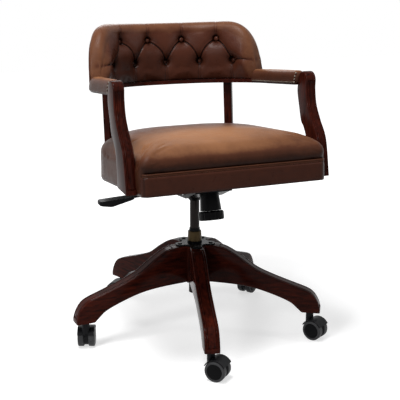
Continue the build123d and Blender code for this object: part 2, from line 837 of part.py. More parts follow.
# Column bracket: socket on the taper, arm to the pivot tube, nose over the spring
with BuildPart() as column_bracket:
    with BuildSketch(Plane.XY.offset(socket_bottom)):
        Circle(socket_foot_radius)
    with BuildSketch(Plane.XY.offset(socket_bottom + socket_flare_height)):
        Circle(socket_plate_radius)
    loft()
    with BuildSketch(Plane.XY.offset(socket_bottom + socket_flare_height)):
        Circle(socket_plate_radius)
    extrude(amount=cylinder_top - socket_bottom - socket_flare_height)
    with BuildSketch(seat_side_plane(0)):
        with BuildLine():
            Polyline(
                *[
                    (
                        at_share(a, arm_root, pivot_spot.Y - arm_reach),
                        pivot_spot.Z + at_share(b, arm_low, arm_high),
                    )
                    for a, b in arm_shares
                ],
                close=True,
            )
        make_face()
    extrude(amount=arm_half_width, both=True)
    with BuildSketch(across_plane):
        with Locations((pivot_setback, pivot_height)):
            Circle(pivot_radius + pivot_wall)
    extrude(amount=pivot_tube_half, both=True)
    with BuildSketch(knob_plane.offset(nose_rise)):
        Circle(nose_radius)
    extrude(amount=nose_thickness)
    with BuildSketch(Plane.XY.offset(socket_bottom + socket_flare_height)):
        with Locations(*lug_spots):
            Rectangle(lug_half_length * 2, lug_thickness)
    extrude(amount=cylinder_top + lug_height - socket_bottom - socket_flare_height)
    with BuildSketch(Plane.XY.offset(cylinder_top - taper_length)):
        Circle(cylinder_radius + snug_gap)
    extrude(amount=taper_length + overrun, taper=taper_angle, mode=Mode.SUBTRACT)
    with BuildSketch(across_plane):
        with Locations((pivot_setback, pivot_height)):
            Circle(pivot_radius + running_gap)
    extrude(amount=pivot_tube_half + overrun, both=True, mode=Mode.SUBTRACT)
    with BuildSketch(knob_plane.offset(nose_rise - overrun)):
        Circle(nose_hole_radius)
    extrude(amount=nose_thickness + overrun + overrun + overrun, mode=Mode.SUBTRACT)
    with BuildSketch(fulcrum_plane):
        Circle(fulcrum_radius + running_gap)
    extrude(amount=lug_inner + lug_thickness + overrun, both=True, mode=Mode.SUBTRACT)
finish(column_bracket.part, "column_bracket")

# Pivot pin of the tilt
with BuildPart() as tilt_pivot:
    with BuildSketch(across_plane):
        with Locations((pivot_setback, pivot_height)):
            Circle(pivot_radius)
    extrude(amount=pivot_pin_half, both=True)
    chamfer(tilt_pivot.edges().filter_by(GeomType.CIRCLE), pivot_pin_edge)
finish(tilt_pivot.part, "tilt_pivot")

# Tension bolt with the collar that carries the spring
tension_collar_bottom = knob_top + housing_gap + housing_floor + running_gap
with BuildPart() as tension_bolt:
    with BuildSketch(knob_plane.offset(knob_top - tension_seat_depth)):
        Circle(tension_radius)
    extrude(amount=tension_length)
    with BuildSketch(knob_plane.offset(tension_collar_bottom)):
        Circle(tension_collar_radius)
    extrude(amount=tension_collar_thickness)
finish(tension_bolt.part, "tension_bolt")

# Coil spring between the collar and the nose
spring_foot = tension_collar_bottom + tension_collar_thickness + spring_wire / 2 + running_gap
spring_span = nose_rise - spring_foot - spring_wire / 2 - running_gap
coil_plane = knob_plane.offset(spring_foot)
with BuildPart() as tension_spring:
    with BuildLine() as coil:
        Helix(
            pitch=spring_span / spring_turns,
            height=spring_span,
            radius=spring_radius,
            center=coil_plane.origin,
            direction=knob_axis,
        )
    with BuildSketch(Plane(origin=coil.line @ 0, x_dir=knob_axis, z_dir=coil.line % 0)):
        Rectangle(spring_wire, spring_wire)
    sweep(path=coil.line, is_frenet=True)
finish(tension_spring.part, "tension_spring")

# Fluted tension knob
with BuildPart() as tension_knob:
    with BuildSketch(knob_plane.offset(-knob_top)):
        Circle(knob_radius)
    extrude(amount=knob_height)
    fillet(tension_knob.edges().filter_by(GeomType.CIRCLE), knob_edge)
    with BuildSketch(knob_plane.offset(-knob_top - overrun)):
        with PolarLocations(knob_radius + knob_flute_radius - knob_flute_depth, knob_flutes):
            Circle(knob_flute_radius)
    extrude(amount=knob_height + overrun + overrun, mode=Mode.SUBTRACT)
    with BuildSketch(knob_plane.offset(knob_top + overrun)):
        Circle(tension_radius + snug_gap)
    extrude(amount=-tension_seat_depth - overrun, mode=Mode.SUBTRACT)
finish(tension_knob.part, "tension_knob")

# Lift lever: flat bar, cross pin in the lugs, paddle at the end
with BuildPart() as lift_lever:
    half_bar = lever_thickness / 2
    with BuildSketch(Plane.XZ):
        with BuildLine():
            FilletPolyline(
                (-paddle_root_reach, fulcrum_height - paddle_root_drop + half_bar),
                (-paddle_tip_reach, fulcrum_height - paddle_drop + paddle_thickness / 2),
                (-paddle_tip_reach, fulcrum_height - paddle_drop - paddle_thickness / 2),
                (-paddle_tip_reach + paddle_half_width * 2, fulcrum_height - paddle_drop - paddle_thickness),
                (-paddle_root_reach, fulcrum_height - paddle_root_drop - half_bar),
                radius=[0, paddle_edge, paddle_edge, paddle_corner, 0],
                close=True,
            )
        make_face()
    extrude(amount=paddle_half_width, both=True)
    with BuildSketch(Plane.XY.offset(fulcrum_height)):
        with Locations((-(paddle_root_reach + paddle_tip_reach) / 2, 0)):
            RectangleRounded(
                paddle_tip_reach - paddle_root_reach, paddle_half_width * 2, paddle_corner
            )
    extrude(amount=paddle_thickness * 2, both=True, mode=Mode.INTERSECT)
    with BuildSketch(Plane.XZ):
        with BuildLine():
            Polyline(
                (lever_inner_reach, fulcrum_height + half_bar),
                (-lever_bend_reach, fulcrum_height + half_bar),
                (-paddle_root_reach - overrun, fulcrum_height - paddle_root_drop + half_bar),
                (-paddle_root_reach - overrun, fulcrum_height - paddle_root_drop - half_bar),
                (-lever_bend_reach, fulcrum_height - half_bar),
                (lever_inner_reach, fulcrum_height - half_bar),
                close=True,
            )
        make_face()
    extrude(amount=lever_half_width, both=True)
    with BuildSketch(fulcrum_plane):
        Circle(fulcrum_radius)
    extrude(amount=lug_inner + lug_thickness, both=True)
finish(lift_lever.part, "lift_lever")

# Pressed steel pan under the seat, with the spring housing
flange_bottom = -batten_height - flange_thickness
with BuildPart() as mechanism_pan:
    with BuildSketch(seat_side_plane(0)):
        with BuildLine():
            pan_profile(flange_bottom)
        make_face()
    extrude(amount=pan_half_width, both=True)
    with BuildSketch(knob_plane.offset(knob_top + housing_gap)):
        Circle(housing_foot_radius)
    extrude(amount=housing_length, taper=housing_taper)
    with BuildSketch(seat_side_plane(0)):
        with BuildLine():
            pan_profile(-batten_height + overrun)
        make_face()
        offset(amount=-pan_wall, mode=Mode.REPLACE)
    extrude(amount=pan_half_width - pan_wall, both=True, mode=Mode.SUBTRACT)
    with BuildSketch(seat_plane.offset(flange_bottom)):
        with Locations((0, (flange_rear - flange_front) / 2)):
            RectangleRounded(flange_half_width * 2, flange_front + flange_rear, flange_corner)
        with Locations((0, pan_length / 2 - pan_front)):
            RectangleRounded(
                (pan_half_width - pan_wall) * 2, pan_length - pan_wall * 2, pan_wall, mode=Mode.SUBTRACT
            )
        with Locations(*bolt_spots):
            Circle(bolt_radius + bolt_gap, mode=Mode.SUBTRACT)
    extrude(amount=flange_thickness)
    with BuildSketch(knob_plane.offset(knob_top + housing_gap + housing_floor)):
        Circle(housing_bore)
    extrude(amount=housing_length + overrun, mode=Mode.SUBTRACT)
    with BuildSketch(knob_plane.offset(knob_top)):
        Circle(tension_radius + running_gap)
    extrude(amount=housing_gap + housing_floor + overrun, mode=Mode.SUBTRACT)
    with BuildSketch(seat_plane.offset(-pan_depth - overrun)):
        with Locations((0, (pan_mouth_rear - pan_mouth_front) / 2)):
            Rectangle(pan_mouth_half_width * 2, pan_mouth_front + pan_mouth_rear)
    extrude(amount=overrun + overrun + pan_wall, mode=Mode.SUBTRACT)
    with BuildSketch(seat_side_plane(-pan_half_width + pan_wall + overrun)):
        with Locations((0, -(lever_slot_low + lever_slot_high) / 2)):
            Rectangle(lever_slot_half_width * 2, lever_slot_low - lever_slot_high)
    extrude(amount=-pan_wall - overrun - overrun, mode=Mode.SUBTRACT)
    with BuildSketch(across_plane):
        with Locations((pivot_setback, pivot_height)):
            Circle(pivot_radius + snug_gap)
    extrude(amount=pivot_pin_half, both=True, mode=Mode.SUBTRACT)
finish(mechanism_pan.part, "mechanism_pan")

# Hexagon bolts through the pan's flange into the battens
with BuildPart() as plate_bolts:
    with BuildSketch(seat_plane.offset(flange_bottom)):
        with Locations(*bolt_spots):
            Circle(bolt_radius)
    extrude(amount=bolt_length)
    with BuildSketch(seat_plane.offset(flange_bottom)):
        with Locations(*bolt_spots):
            RegularPolygon(radius=bolt_head_radius, side_count=6)
    extrude(amount=-bolt_head_height)
finish(plate_bolts.part, "plate_bolts")

# Wooden battens that carry the seat
with BuildPart() as seat_battens:
    with BuildSketch(seat_plane.offset(-batten_height)):
        with Locations(*batten_spots):
            Rectangle(batten_width, batten_front + batten_rear)
    extrude(amount=batten_height)
    with BuildSketch(seat_plane.offset(-batten_height)):
        with Locations(*bolt_spots):
            Circle(bolt_radius + bolt_gap)
    extrude(amount=bolt_length - flange_thickness + soft_gap, mode=Mode.SUBTRACT)
finish(seat_battens.part, "seat_battens")

# Dust cover of black cloth
with BuildPart() as dust_cover:
    with BuildSketch(seat_plane):
        with BuildLine():
            seat_outline(dust_inset)
        make_face()
    extrude(amount=dust_thickness)
finish(dust_cover.part, "dust_cover")

# Seat frame: a ring of rails
with BuildPart() as seat_frame:
    with BuildSketch(seat_plane.offset(frame_bottom)):
        with BuildLine():
            seat_outline(apron_thickness + soft_gap)
        make_face()
        with BuildLine():
            seat_outline(apron_thickness + soft_gap + frame_rail_width)
        make_face(mode=Mode.SUBTRACT)
    extrude(amount=frame_rail_height)
finish(seat_frame.part, "seat_frame")

# Seat deck under the cushion
with BuildPart() as seat_deck:
    with BuildSketch(seat_plane.offset(deck_bottom)):
        with BuildLine():
            seat_outline(deck_inset)
        make_face()
    extrude(amount=deck_thickness)
finish(seat_deck.part, "seat_deck")

# Crowned seat cushion
with BuildPart() as seat_cushion:
    for rise, share in cushion_shares:
        with BuildSketch(seat_plane.offset(cushion_bottom + rise * cushion_height)):
            with BuildLine():
                seat_outline(0, share)
            make_face()
    loft(ruled=True)
finish(seat_cushion.part, "seat_cushion")

# Leather apron round the seat frame
with BuildPart() as apron:
    with BuildSketch(seat_plane):
        with BuildLine():
            seat_outline()
        make_face()
        with BuildLine():
            seat_outline(apron_thickness)
        make_face(mode=Mode.SUBTRACT)
    extrude(amount=apron_height)
finish(apron.part, "apron")

# Piping round the front of the seat, between the posts
with BuildPart() as piping:
    bend = seat_front_corner - piping_inset
    bend_x = seat_half_width - seat_front_corner
    bend_y = seat_front_corner - seat_front_reach
    with BuildLine(seat_plane.offset(apron_height + soft_gap + piping_radius)) as piping_path:
        right_bend = CenterArc((bend_x, bend_y), bend, -piping_start, piping_start - 90)
        left_bend = CenterArc((-bend_x, bend_y), bend, -90, piping_start - 90)
        Line(right_bend @ 1, left_bend @ 0)
    with BuildSketch(Plane(origin=right_bend @ 0, z_dir=right_bend % 0)):
        Circle(piping_radius)
    sweep(path=piping_path.line)
finish(piping.part, "piping")

# Carved front posts
for side_name, side_sign in (("left", -1), ("right", 1)):
    with BuildPart() as front_post:
        with BuildSketch(seat_side_plane(side_sign * (post_inner + post_outer) / 2)):
            with BuildLine():
                post_outline()
            make_face()
        extrude(amount=post_thickness / 2, both=True)
        fillet(front_post.edges().filter_by(GeomType.BSPLINE), post_edge_radius)
        with BuildSketch(seat_side_plane(side_sign * (post_inner + post_outer) / 2)):
            with BuildLine():
                panel_front = Spline(*post_front_points(-post_panel_rise)[1:])
                panel_back = Spline(*post_front_points(post_panel_depth)[1:])
                Line(panel_front @ 0, panel_back @ 0)
                Line(panel_front @ 1, panel_back @ 1)
            make_face()
        extrude(amount=post_panel_width / 2, both=True)
    finish(front_post.part, f"front_post_{side_name}")

# Square posts under the back of the rail
with BuildPart() as rear_posts:
    post_turn = radians(rear_post_angle)
    post_reach = seat_rear_corner + soft_gap + rear_post_depth / 2
    post_x = seat_half_width - seat_rear_corner + post_reach * cos(post_turn)
    post_y = seat_rear_reach - seat_rear_corner + post_reach * sin(post_turn)
    with BuildSketch(seat_plane.offset(rear_post_foot)):
        with Locations(Location((post_x, post_y, 0), (0, 0, rear_post_angle))):
            Rectangle(rear_post_depth, rear_post_width)
        with Locations(Location((-post_x, post_y, 0), (0, 0, 180 - rear_post_angle))):
            Rectangle(rear_post_depth, rear_post_width)
    extrude(amount=rail_underside - rear_post_foot)
    fillet(rear_posts.edges().filter_by(Axis(seat_plane.origin, seat_plane.z_dir)), rear_post_edge)
finish(rear_posts.part, "rear_posts")

# Horseshoe rail under the pads and the back
with BuildPart() as arm_rail:
    with BuildSketch(seat_plane.offset(rail_underside)):
        with BuildLine():
            horseshoe(0)
        make_face()
    extrude(amount=rail_thickness)
    with BuildSketch(seat_side_plane(0)):
        with BuildLine():
            post_outline()
        make_face()
    extrude(amount=rail_end_outer + overrun, both=True, mode=Mode.SUBTRACT)
finish(arm_rail.part, "arm_rail")

# Padded arms over the rail, from the ends of the back to the posts
spread = soft_gap + pad_skirt
for side_name, side_sign in (("left", -1), ("right", 1)):
    arc_end = rail_flat + rail_radius * pi / 2
    pad_reach = rail_half_width + spread
    rings = []
    for step in range(pad_bend_steps + 1):
        station = at_share(step / pad_bend_steps, back_end + soft_gap, arc_end)
        rings.append((back_plane(side_sign * station), pad_reach, pad_reach))
    rings.append(
        (
            back_plane(side_sign * arc_end).offset(side_sign * (rail_centre_setback - rail_end_setback)),
            rail_end_outer + spread - rail_flat - rail_radius,
            rail_flat + rail_radius - rail_end_inner + spread,
        )
    )
    with BuildPart() as arm_pad:
        for ring_plane, out_reach, in_reach in rings:
            with BuildSketch(ring_plane):
                with BuildLine():
                    left_foot = (-out_reach, rail_top - pad_skirt_drop)
                    right_foot = (in_reach, rail_top - pad_skirt_drop)
                    left_top = (-out_reach, rail_top + pad_crown - pad_crown_arc)
                    right_top = (in_reach, rail_top + pad_crown - pad_crown_arc)
                    Line(left_foot, left_top)
                    ThreePointArc(left_top, ((in_reach - out_reach) / 2, rail_top + pad_crown), right_top)
                    Line(right_top, right_foot)
                    Line(right_foot, left_foot)
                make_face()
        loft(ruled=True)
        with BuildSketch(seat_plane.offset(rail_underside)):
            with BuildLine():
                horseshoe(soft_gap)
            make_face()
        extrude(amount=rail_thickness + soft_gap, mode=Mode.SUBTRACT)
        with BuildSketch(seat_side_plane(0, soft_gap)):
            with BuildLine():
                post_outline()
            make_face()
        extrude(amount=side_sign * (rail_end_outer + rail_half_width), mode=Mode.SUBTRACT)
    finish(arm_pad.part, f"arm_pad_{side_name}")

# Tufted back: sections round the rail's centre line, pleated between the buttons
half_stations = [step * button_pitch / 4 for step in range(1, 9)]
half_stations += [at_share(share, last_button, back_end) for share in back_end_shares]
stations = [-station for station in reversed(half_stations)] + [0] + half_stations
with BuildPart() as back_pad:
    for station in stations:
        with BuildSketch(back_plane(station)):
            with BuildLine():
                back_section(station)
            make_face()
    loft(ruled=True)
    for station, rise in button_spots():
        with BuildSketch(button_plane(station, rise, -button_sink)):
            Circle(button_radius + pocket_gap)
        extrude(amount=back_lobe, mode=Mode.SUBTRACT)
finish(back_pad.part, "back_pad")

# Leather-covered shell on the outside of the back
with BuildPart() as back_shell:
    for station in stations:
        with BuildSketch(back_plane(station)):
            with BuildLine():
                shell_top = back_base + crest_rise(station) - shell_drop * crest_scale(station)
                shell_in = -back_outer - soft_gap
                shell_out = shell_in - shell_thickness
                Polyline(
                    (shell_out, back_base),
                    (shell_in, back_base),
                    (shell_in, shell_top),
                    (shell_out, shell_top),
                    close=True,
                )
            make_face()
    loft(ruled=True)
finish(back_shell.part, "back_shell")

# Covered buttons in the tufts
with BuildPart() as tuft_buttons:
    for station, rise in button_spots():
        with BuildSketch(button_plane(station, rise, soft_gap - button_sink)):
            Circle(button_radius)
        extrude(amount=button_height)
        dome = tuft_buttons.faces().filter_by(GeomType.PLANE).sort_by_distance(
            button_plane(station, rise, soft_gap - button_sink + button_height).origin
        )[0]
        fillet(dome.edges(), button_dome)
finish(tuft_buttons.part, "tuft_buttons")
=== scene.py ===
"""Looks of the tufted desk chair: leather, lacquered wood and the swivel base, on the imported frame."""

import json
import logging
import math
from dataclasses import dataclass
from enum import Enum
from typing import Sequence

import bmesh
import bpy
import numpy as np
from mathutils import Matrix, Vector


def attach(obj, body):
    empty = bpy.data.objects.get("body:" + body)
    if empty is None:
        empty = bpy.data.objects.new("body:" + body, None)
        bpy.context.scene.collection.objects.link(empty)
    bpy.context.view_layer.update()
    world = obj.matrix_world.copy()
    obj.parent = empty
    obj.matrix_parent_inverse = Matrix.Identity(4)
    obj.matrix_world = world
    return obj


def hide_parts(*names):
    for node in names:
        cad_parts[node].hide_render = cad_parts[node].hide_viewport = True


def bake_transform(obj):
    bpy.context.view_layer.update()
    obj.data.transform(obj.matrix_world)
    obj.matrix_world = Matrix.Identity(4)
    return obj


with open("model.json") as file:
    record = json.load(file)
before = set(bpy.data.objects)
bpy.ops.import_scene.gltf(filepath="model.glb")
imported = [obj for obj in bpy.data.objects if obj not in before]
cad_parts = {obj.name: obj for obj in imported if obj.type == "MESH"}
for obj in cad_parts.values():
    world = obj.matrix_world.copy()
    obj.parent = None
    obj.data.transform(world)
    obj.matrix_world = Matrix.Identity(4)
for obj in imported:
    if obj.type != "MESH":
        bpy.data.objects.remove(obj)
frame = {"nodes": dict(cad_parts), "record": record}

LOG = logging.getLogger("desk_chair")
MM = 0.001
LEG_COUNT = 5
BASE_YAW = 182.4

Colour = tuple[float, float, float]
Point = tuple[float, float]
Spot = tuple[float, float, float]
Socket = bpy.types.NodeSocket


class Body(Enum):
    """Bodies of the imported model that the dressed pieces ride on."""

    SEAT = "seat"
    BASE = "base"
    LIFT = "lift"


class Slot(Enum):
    """Material slots of the record."""

    LEATHER = "leather"
    WOOD = "mahogany"
    PLASTIC = "black_plastic"
    STEEL = "black_steel"
    BRASS = "antique_brass"


def smooth_step(low: float, high: float, value: float) -> float:
    """Return 0 below low, 1 above high and a smooth blend between."""
    share = min(1.0, max(0.0, (value - low) / (high - low)))
    return share * share * (3 - 2 * share)


def smooth_array(low: float, high: float, values: np.ndarray) -> np.ndarray:
    """Return smooth steps of many values."""
    share = np.clip((values - low) / (high - low), 0.0, 1.0)
    return share * share * (3 - 2 * share)


def fade(distance: np.ndarray, reach: float, power: int = 1) -> np.ndarray:
    """Return 1 at no distance, falling to 1/e at the reach."""
    return np.exp(-((distance / reach) ** power))


def between(low: float, high: float, share: float) -> float:
    """Return the value at a share of the way from low to high."""
    return low + (high - low) * share


def side_name(side: float) -> str:
    """Return the name of a side, left below zero and right above."""
    return "left" if side < 0 else "right"


def leg_yaw(index: int) -> float:
    """Return the direction of a leg round the column, in radians."""
    return math.radians(BASE_YAW + index * 360 / LEG_COUNT)


def catmull(points: Sequence[Point], steps: int) -> list[Point]:
    """Return a smooth run of points through the given ones.

    Args:
        points: Corner points of the run, in order.
        steps: Number of new points for each stretch.

    Returns:
        The points of the smooth run, ends included.
    """
    run: list[Point] = []
    last = len(points) - 1
    for index in range(last):
        p0 = points[max(index - 1, 0)]
        p1, p2 = points[index], points[index + 1]
        p3 = points[min(index + 2, last)]
        for step in range(steps):
            t = step / steps
            run.append(
                tuple(
                    0.5
                    * (
                        2 * b
                        + (c - a) * t
                        + (2 * a - 5 * b + 4 * c - d) * t * t
                        + (3 * b - a - 3 * c + d) * t**3
                    )
                    for a, b, c, d in zip(p0, p1, p2, p3)
                )
            )
    run.append(tuple(points[last]))
    return run


# Finishes


class Graph:
    """A material's node graph round one Principled shader."""

    def __init__(self, name: str) -> None:
        """Start a material of that name."""
        self.material = bpy.data.materials.new(name)
        self.material.use_nodes = True
        self.tree = self.material.node_tree
        self.shader = self.tree.nodes["Principled BSDF"]
        self.place = self.node("ShaderNodeTexCoord").outputs["Object"]

    def node(self, kind: str, **settings) -> bpy.types.Node:
        """Add a node.

        Args:
            kind: Type of the node.
            **settings: Its properties.

        Returns:
            The node.
        """
        made = self.tree.nodes.new(kind)
        for key, value in settings.items():
            setattr(made, key, value)
        return made

    def join(self, source: object, target: Socket) -> None:
        """Feed a socket, or set it to a plain value.

        Args:
            source: A socket or a value.
            target: The socket to feed.
        """
        if isinstance(source, Socket):
            self.tree.links.new(source, target)
        else:
            target.default_value = source

    def fed(self, kind: str, inputs: dict, output: str | int, **settings) -> Socket:
        """Add a node and feed it.

        Args:
            kind: Type of the node.
            inputs: Values or sockets for its inputs.
            output: Which output is wanted.
            **settings: Properties of the node.

        Returns:
            That output.
        """
        made = self.node(kind, **settings)
        for key, value in inputs.items():
            self.join(value, made.inputs[key])
        return made.outputs[output]

    def set(self, **values) -> None:
        """Set or feed inputs of the shader.

        Args:
            **values: Values by input; underscores stand for spaces.
        """
        for key, value in values.items():
            if isinstance(value, tuple) and len(value) == 3:
                value = (*value, 1.0)
            self.join(value, self.shader.inputs[key.replace("_", " ")])

    def stretched(self, yaw: float, scale: Spot) -> Socket:
        """Return object coordinates turned about Z and then stretched."""
        inputs = {"Vector": self.place, "Rotation": (0.0, 0.0, yaw)}
        turned = self.fed("ShaderNodeMapping", inputs, "Vector", vector_type="TEXTURE")
        return self.fed("ShaderNodeMapping", {"Vector": turned, "Scale": scale}, "Vector")

    def noise(self, scale: float, detail: float = 3.0, vector: Socket | None = None, rough: float = 0.5) -> Socket:
        """Return a noise value between 0 and 1."""
        inputs = {"Vector": vector or self.place, "Scale": scale, "Detail": detail, "Roughness": rough}
        return self.fed("ShaderNodeTexNoise", inputs, "Fac")

    def cells(self, scale: float) -> Socket:
        """Return the distance to the edge of leather-like cells."""
        inputs = {"Vector": self.place, "Scale": scale}
        return self.fed("ShaderNodeTexVoronoi", inputs, "Distance", feature="DISTANCE_TO_EDGE")

    def remap(
        self, value: Socket | float, low: float, high: float, to_low: float = 0.0, to_high: float = 1.0
    ) -> Socket:
        """Return a value mapped from one range to another, clamped."""
        inputs = {"Value": value, "From Min": low, "From Max": high, "To Min": to_low, "To Max": to_high}
        return self.fed("ShaderNodeMapRange", inputs, "Result")

    def math(self, operation: str, first: Socket | float, second: Socket | float = 0.0) -> Socket:
        """Return the result of a math node."""
        return self.fed("ShaderNodeMath", {0: first, 1: second}, "Value", operation=operation)

    def mix(self, factor: Socket | float, first: Socket | Colour, second: Socket | Colour) -> Socket:
        """Return a blend of two colours."""
        first, second = ((*value, 1.0) if isinstance(value, tuple) else value for value in (first, second))
        return self.fed("ShaderNodeMix", {0: factor, 6: first, 7: second}, 2, data_type="RGBA")

    def attribute(self, name: str) -> Socket:
        """Return a float attribute of the mesh."""
        return self.node("ShaderNodeAttribute", attribute_name=name).outputs["Fac"]

    def bump(self, height: Socket, strength: float, distance: float, normal: Socket | None = None) -> Socket:
        """Bend a normal by a height.

        Args:
            height: The height.
            strength: Share of the effect.
            distance: Height of a full step, in metres.
            normal: A normal that is already bent.

        Returns:
            The normal.
        """
        inputs = {"Height": height, "Strength": strength, "Distance": distance}
        if normal is not None:
            inputs["Normal"] = normal
        return self.fed("ShaderNodeBump", inputs, "Normal")


@dataclass(frozen=True)
class Mahogany:
    """Dark red-brown stained wood under gloss lacquer, with the grain along one direction."""

    name: str
    yaw: float = 0.0
    upright: bool = False
    dark: Colour = (0.0085, 0.0022, 0.0017)
    red: Colour = (0.070, 0.0105, 0.0050)
    roughness: float = 0.16

    def build(self) -> bpy.types.Material:
        """Build the wood.

        Returns:
            The material.
        """
        graph = Graph(self.name)
        along = (6.0, 6.0, 1.0) if self.upright else (1.0, 6.0, 6.0)
        grain = graph.noise(26.0, 6.0, graph.stretched(self.yaw, along), 0.62)
        cloud = graph.noise(9.0, 2.0)
        share = graph.math("MULTIPLY", graph.remap(grain, 0.3, 0.7), graph.remap(cloud, 0.3, 0.7, 0.35, 1.0))
        colour = graph.mix(share, self.dark, self.red)
        relief = graph.bump(grain, 0.05, 0.001)
        graph.set(
            Base_Color=colour, Roughness=self.roughness, Specular_IOR_Level=0.036, Normal=relief
        )
        return graph.material


@dataclass(frozen=True)
class Leather:
    """Antiqued leather: tan where rubbed, painted shade in folds, painted highlights on lit tops."""

    name: str
    # darkest colour: painted shade in folds, creases, pockets and undersides
    fold: Colour = (0.0085, 0.0026, 0.0017)
    body: Colour = (0.054, 0.0155, 0.0082)
    # tan of rubbed leather, also used for painted highlights
    worn_and_lit: Colour = (0.190, 0.084, 0.041)
    roughness: float = 0.3
    grain_depth: float = 0.25

    def build(self) -> bpy.types.Material:
        """Build the leather.

        Returns:
            The material.
        """
        graph = Graph(self.name)
        cloud = graph.noise(14.0, 4.0, None, 0.6)
        fine = graph.noise(60.0, 3.0, None, 0.6)
        stain = graph.math("ADD", graph.math("MULTIPLY", cloud, 0.7), graph.math("MULTIPLY", fine, 0.3))
        wear_and_shading = graph.math("ADD", graph.attribute("wear_and_shading"), graph.remap(stain, 0.3, 0.7, -0.1, 0.1))
        # the stored value runs from painted shade through the body colour to rubbed tan and painted highlight; the
        # stain noise is uneven tone
        base = graph.mix(graph.remap(wear_and_shading, 0.5, 1.0), self.body, self.worn_and_lit)
        base = graph.mix(graph.remap(wear_and_shading, 0.0, 0.5), self.fold, base)
        cells = graph.cells(520.0)
        skin = graph.bump(graph.remap(cells, 0.0, 0.25), self.grain_depth, 0.0004)
        skin = graph.bump(graph.noise(90.0, 3.0), 0.15, 0.001, skin)
        graph.set(
            Base_Color=base,
            Roughness=graph.remap(fine, 0.2, 0.8, self.roughness - 0.06, self.roughness + 0.08),
            Specular_IOR_Level=0.075,
            Normal=skin,
        )
        return graph.material


@dataclass(frozen=True)
class Plain:
    """One even colour with faint unevenness, for plastic, paint, metal and cloth."""

    name: str
    colour: Colour
    roughness: float
    metallic: float = 0.0
    specular: float = 0.5
    mottle: float = 0.12
    mottle_scale: float = 60.0
    bump: float = 0.0
    bump_scale: float = 900.0

    def build(self) -> bpy.types.Material:
        """Build the finish.

        Returns:
            The material.
        """
        graph = Graph(self.name)
        cloud = graph.noise(self.mottle_scale, 3.0)
        darker = tuple(part * (1 - self.mottle) for part in self.colour)
        lighter = tuple(part * (1 + self.mottle) for part in self.colour)
        values = dict(
            Base_Color=graph.mix(graph.remap(cloud, 0.3, 0.7), darker, lighter),
            Roughness=graph.remap(cloud, 0.3, 0.7, self.roughness * 0.9, self.roughness * 1.1),
            Metallic=self.metallic,
            Specular_IOR_Level=self.specular,
        )
        if self.bump:
            values["Normal"] = graph.bump(graph.noise(self.bump_scale, 2.0), self.bump, 0.0005)
        graph.set(**values)
        return graph.material


# Frames of reference and mesh helpers


@dataclass(frozen=True)
class SeatFrame:
    """The raked frame of the seat: X right, Y back and H up from the seat's underside, in millimetres."""

    height: float = 410.0
    rake: float = math.radians(4.5)

    def world(self, x: float, y: float, h: float) -> Vector:
        """Return a point of the seat's frame in metres in the row frame."""
        sine, cosine = math.sin(self.rake), math.cos(self.rake)
        return Vector((x, y * cosine + h * sine, self.height - y * sine + h * cosine)) * MM

    @property
    def matrix(self) -> Matrix:
        """Return the transform from the seat's frame in millimetres to the row frame in metres."""
        sine, cosine = math.sin(self.rake), math.cos(self.rake)
        turn = Matrix(((1, 0, 0, 0), (0, cosine, sine, 0), (0, -sine, cosine, self.height), (0, 0, 0, 1)))
        return Matrix.Scale(MM, 4) @ turn


@dataclass(frozen=True)
class Outline:
    """The seat's outline, seen from above, in millimetres."""

    half_width: float = 226.0
    front: float = 256.0
    rear: float = 173.0
    front_corner: float = 16.0
    rear_corner: float = 150.0
    centre_setback: float = 40.0

    def points(self, spacing: float = 6.0) -> list[tuple[float, float, float, float]]:
        """Return points round the outline.

        Args:
            spacing: Distance between points on the straight sides.

        Returns:
            Points (x, y, outward x, outward y), from the middle of the front towards +X.
        """
        half, front, rear = self.half_width, -self.front, self.rear
        small, large = self.front_corner, self.rear_corner
        corners = (
            (half - small, front + small, small, -90.0),
            (half - large, rear - large, large, 0.0),
            (-half + large, rear - large, large, 90.0),
            (-half + small, front + small, small, 180.0),
        )
        made: list[tuple[float, float, float, float]] = []

        def line_to(x: float, y: float, nx: float, ny: float) -> None:
            """Add even points up to a place, which stays out.

            Args:
                x: Place to the right.
                y: Place to the back.
                nx: Outward direction to the right.
                ny: Outward direction to the back.
            """
            x0, y0 = made[-1][:2] if made else (0.0, front)
            steps = max(1, round(math.hypot(x - x0, y - y0) / spacing))
            for step in range(1 if made else 0, steps):
                made.append((x0 + (x - x0) * step / steps, y0 + (y - y0) * step / steps, nx, ny))

        for cx, cy, radius, start in corners:
            angle = math.radians(start)
            nx, ny = math.cos(angle), math.sin(angle)
            line_to(cx + radius * nx, cy + radius * ny, nx, ny)
            steps = max(3, round(radius * math.pi / 2 / spacing))
            for step in range(steps + 1):
                turn = angle + math.pi / 2 * step / steps
                nx, ny = math.cos(turn), math.sin(turn)
                made.append((cx + radius * nx, cy + radius * ny, nx, ny))
        line_to(0.0, front, 0.0, -1.0)
        return made

    def shrunk(self, point: tuple[float, float, float, float], share: float) -> Point:
        """Return a point of the outline shrunk about the cushion's middle."""
        return point[0] * share, -self.centre_setback + (point[1] + self.centre_setback) * share


@dataclass(frozen=True)
class RailPath:
    """Centre line of the horseshoe rail, in millimetres along it from the middle of the back."""

    seat: SeatFrame
    radius: float = 207.0
    flat: float = 20.0
    setback: float = 3.0
    half_width: float = 21.0
    top: float = 224.0
    end: float = -124.0
    end_inner: float = 222.0
    end_outer: float = 249.0

    @property
    def arc_end(self) -> float:
        """Run at which the bend ends and the arm begins."""
        return self.flat + self.radius * math.pi / 2

    def place(self, run: float, inward: float, rise: float) -> Vector:
        """Find a point beside the path.

        Args:
            run: Distance along the path, negative to the sitter's right.
            inward: Distance inward of it.
            rise: Height in the seat's frame.

        Returns:
            The point, in metres.
        """
        side = -1.0 if run < 0 else 1.0
        along = abs(run)
        turn = min(max(along - self.flat, 0.0) / self.radius, math.pi / 2)
        reach = self.radius - inward
        x = min(along, self.flat) + reach * math.sin(turn)
        y = reach * math.cos(turn) - self.setback - max(along - self.arc_end, 0.0)
        return self.seat.world(side * x, y, rise)


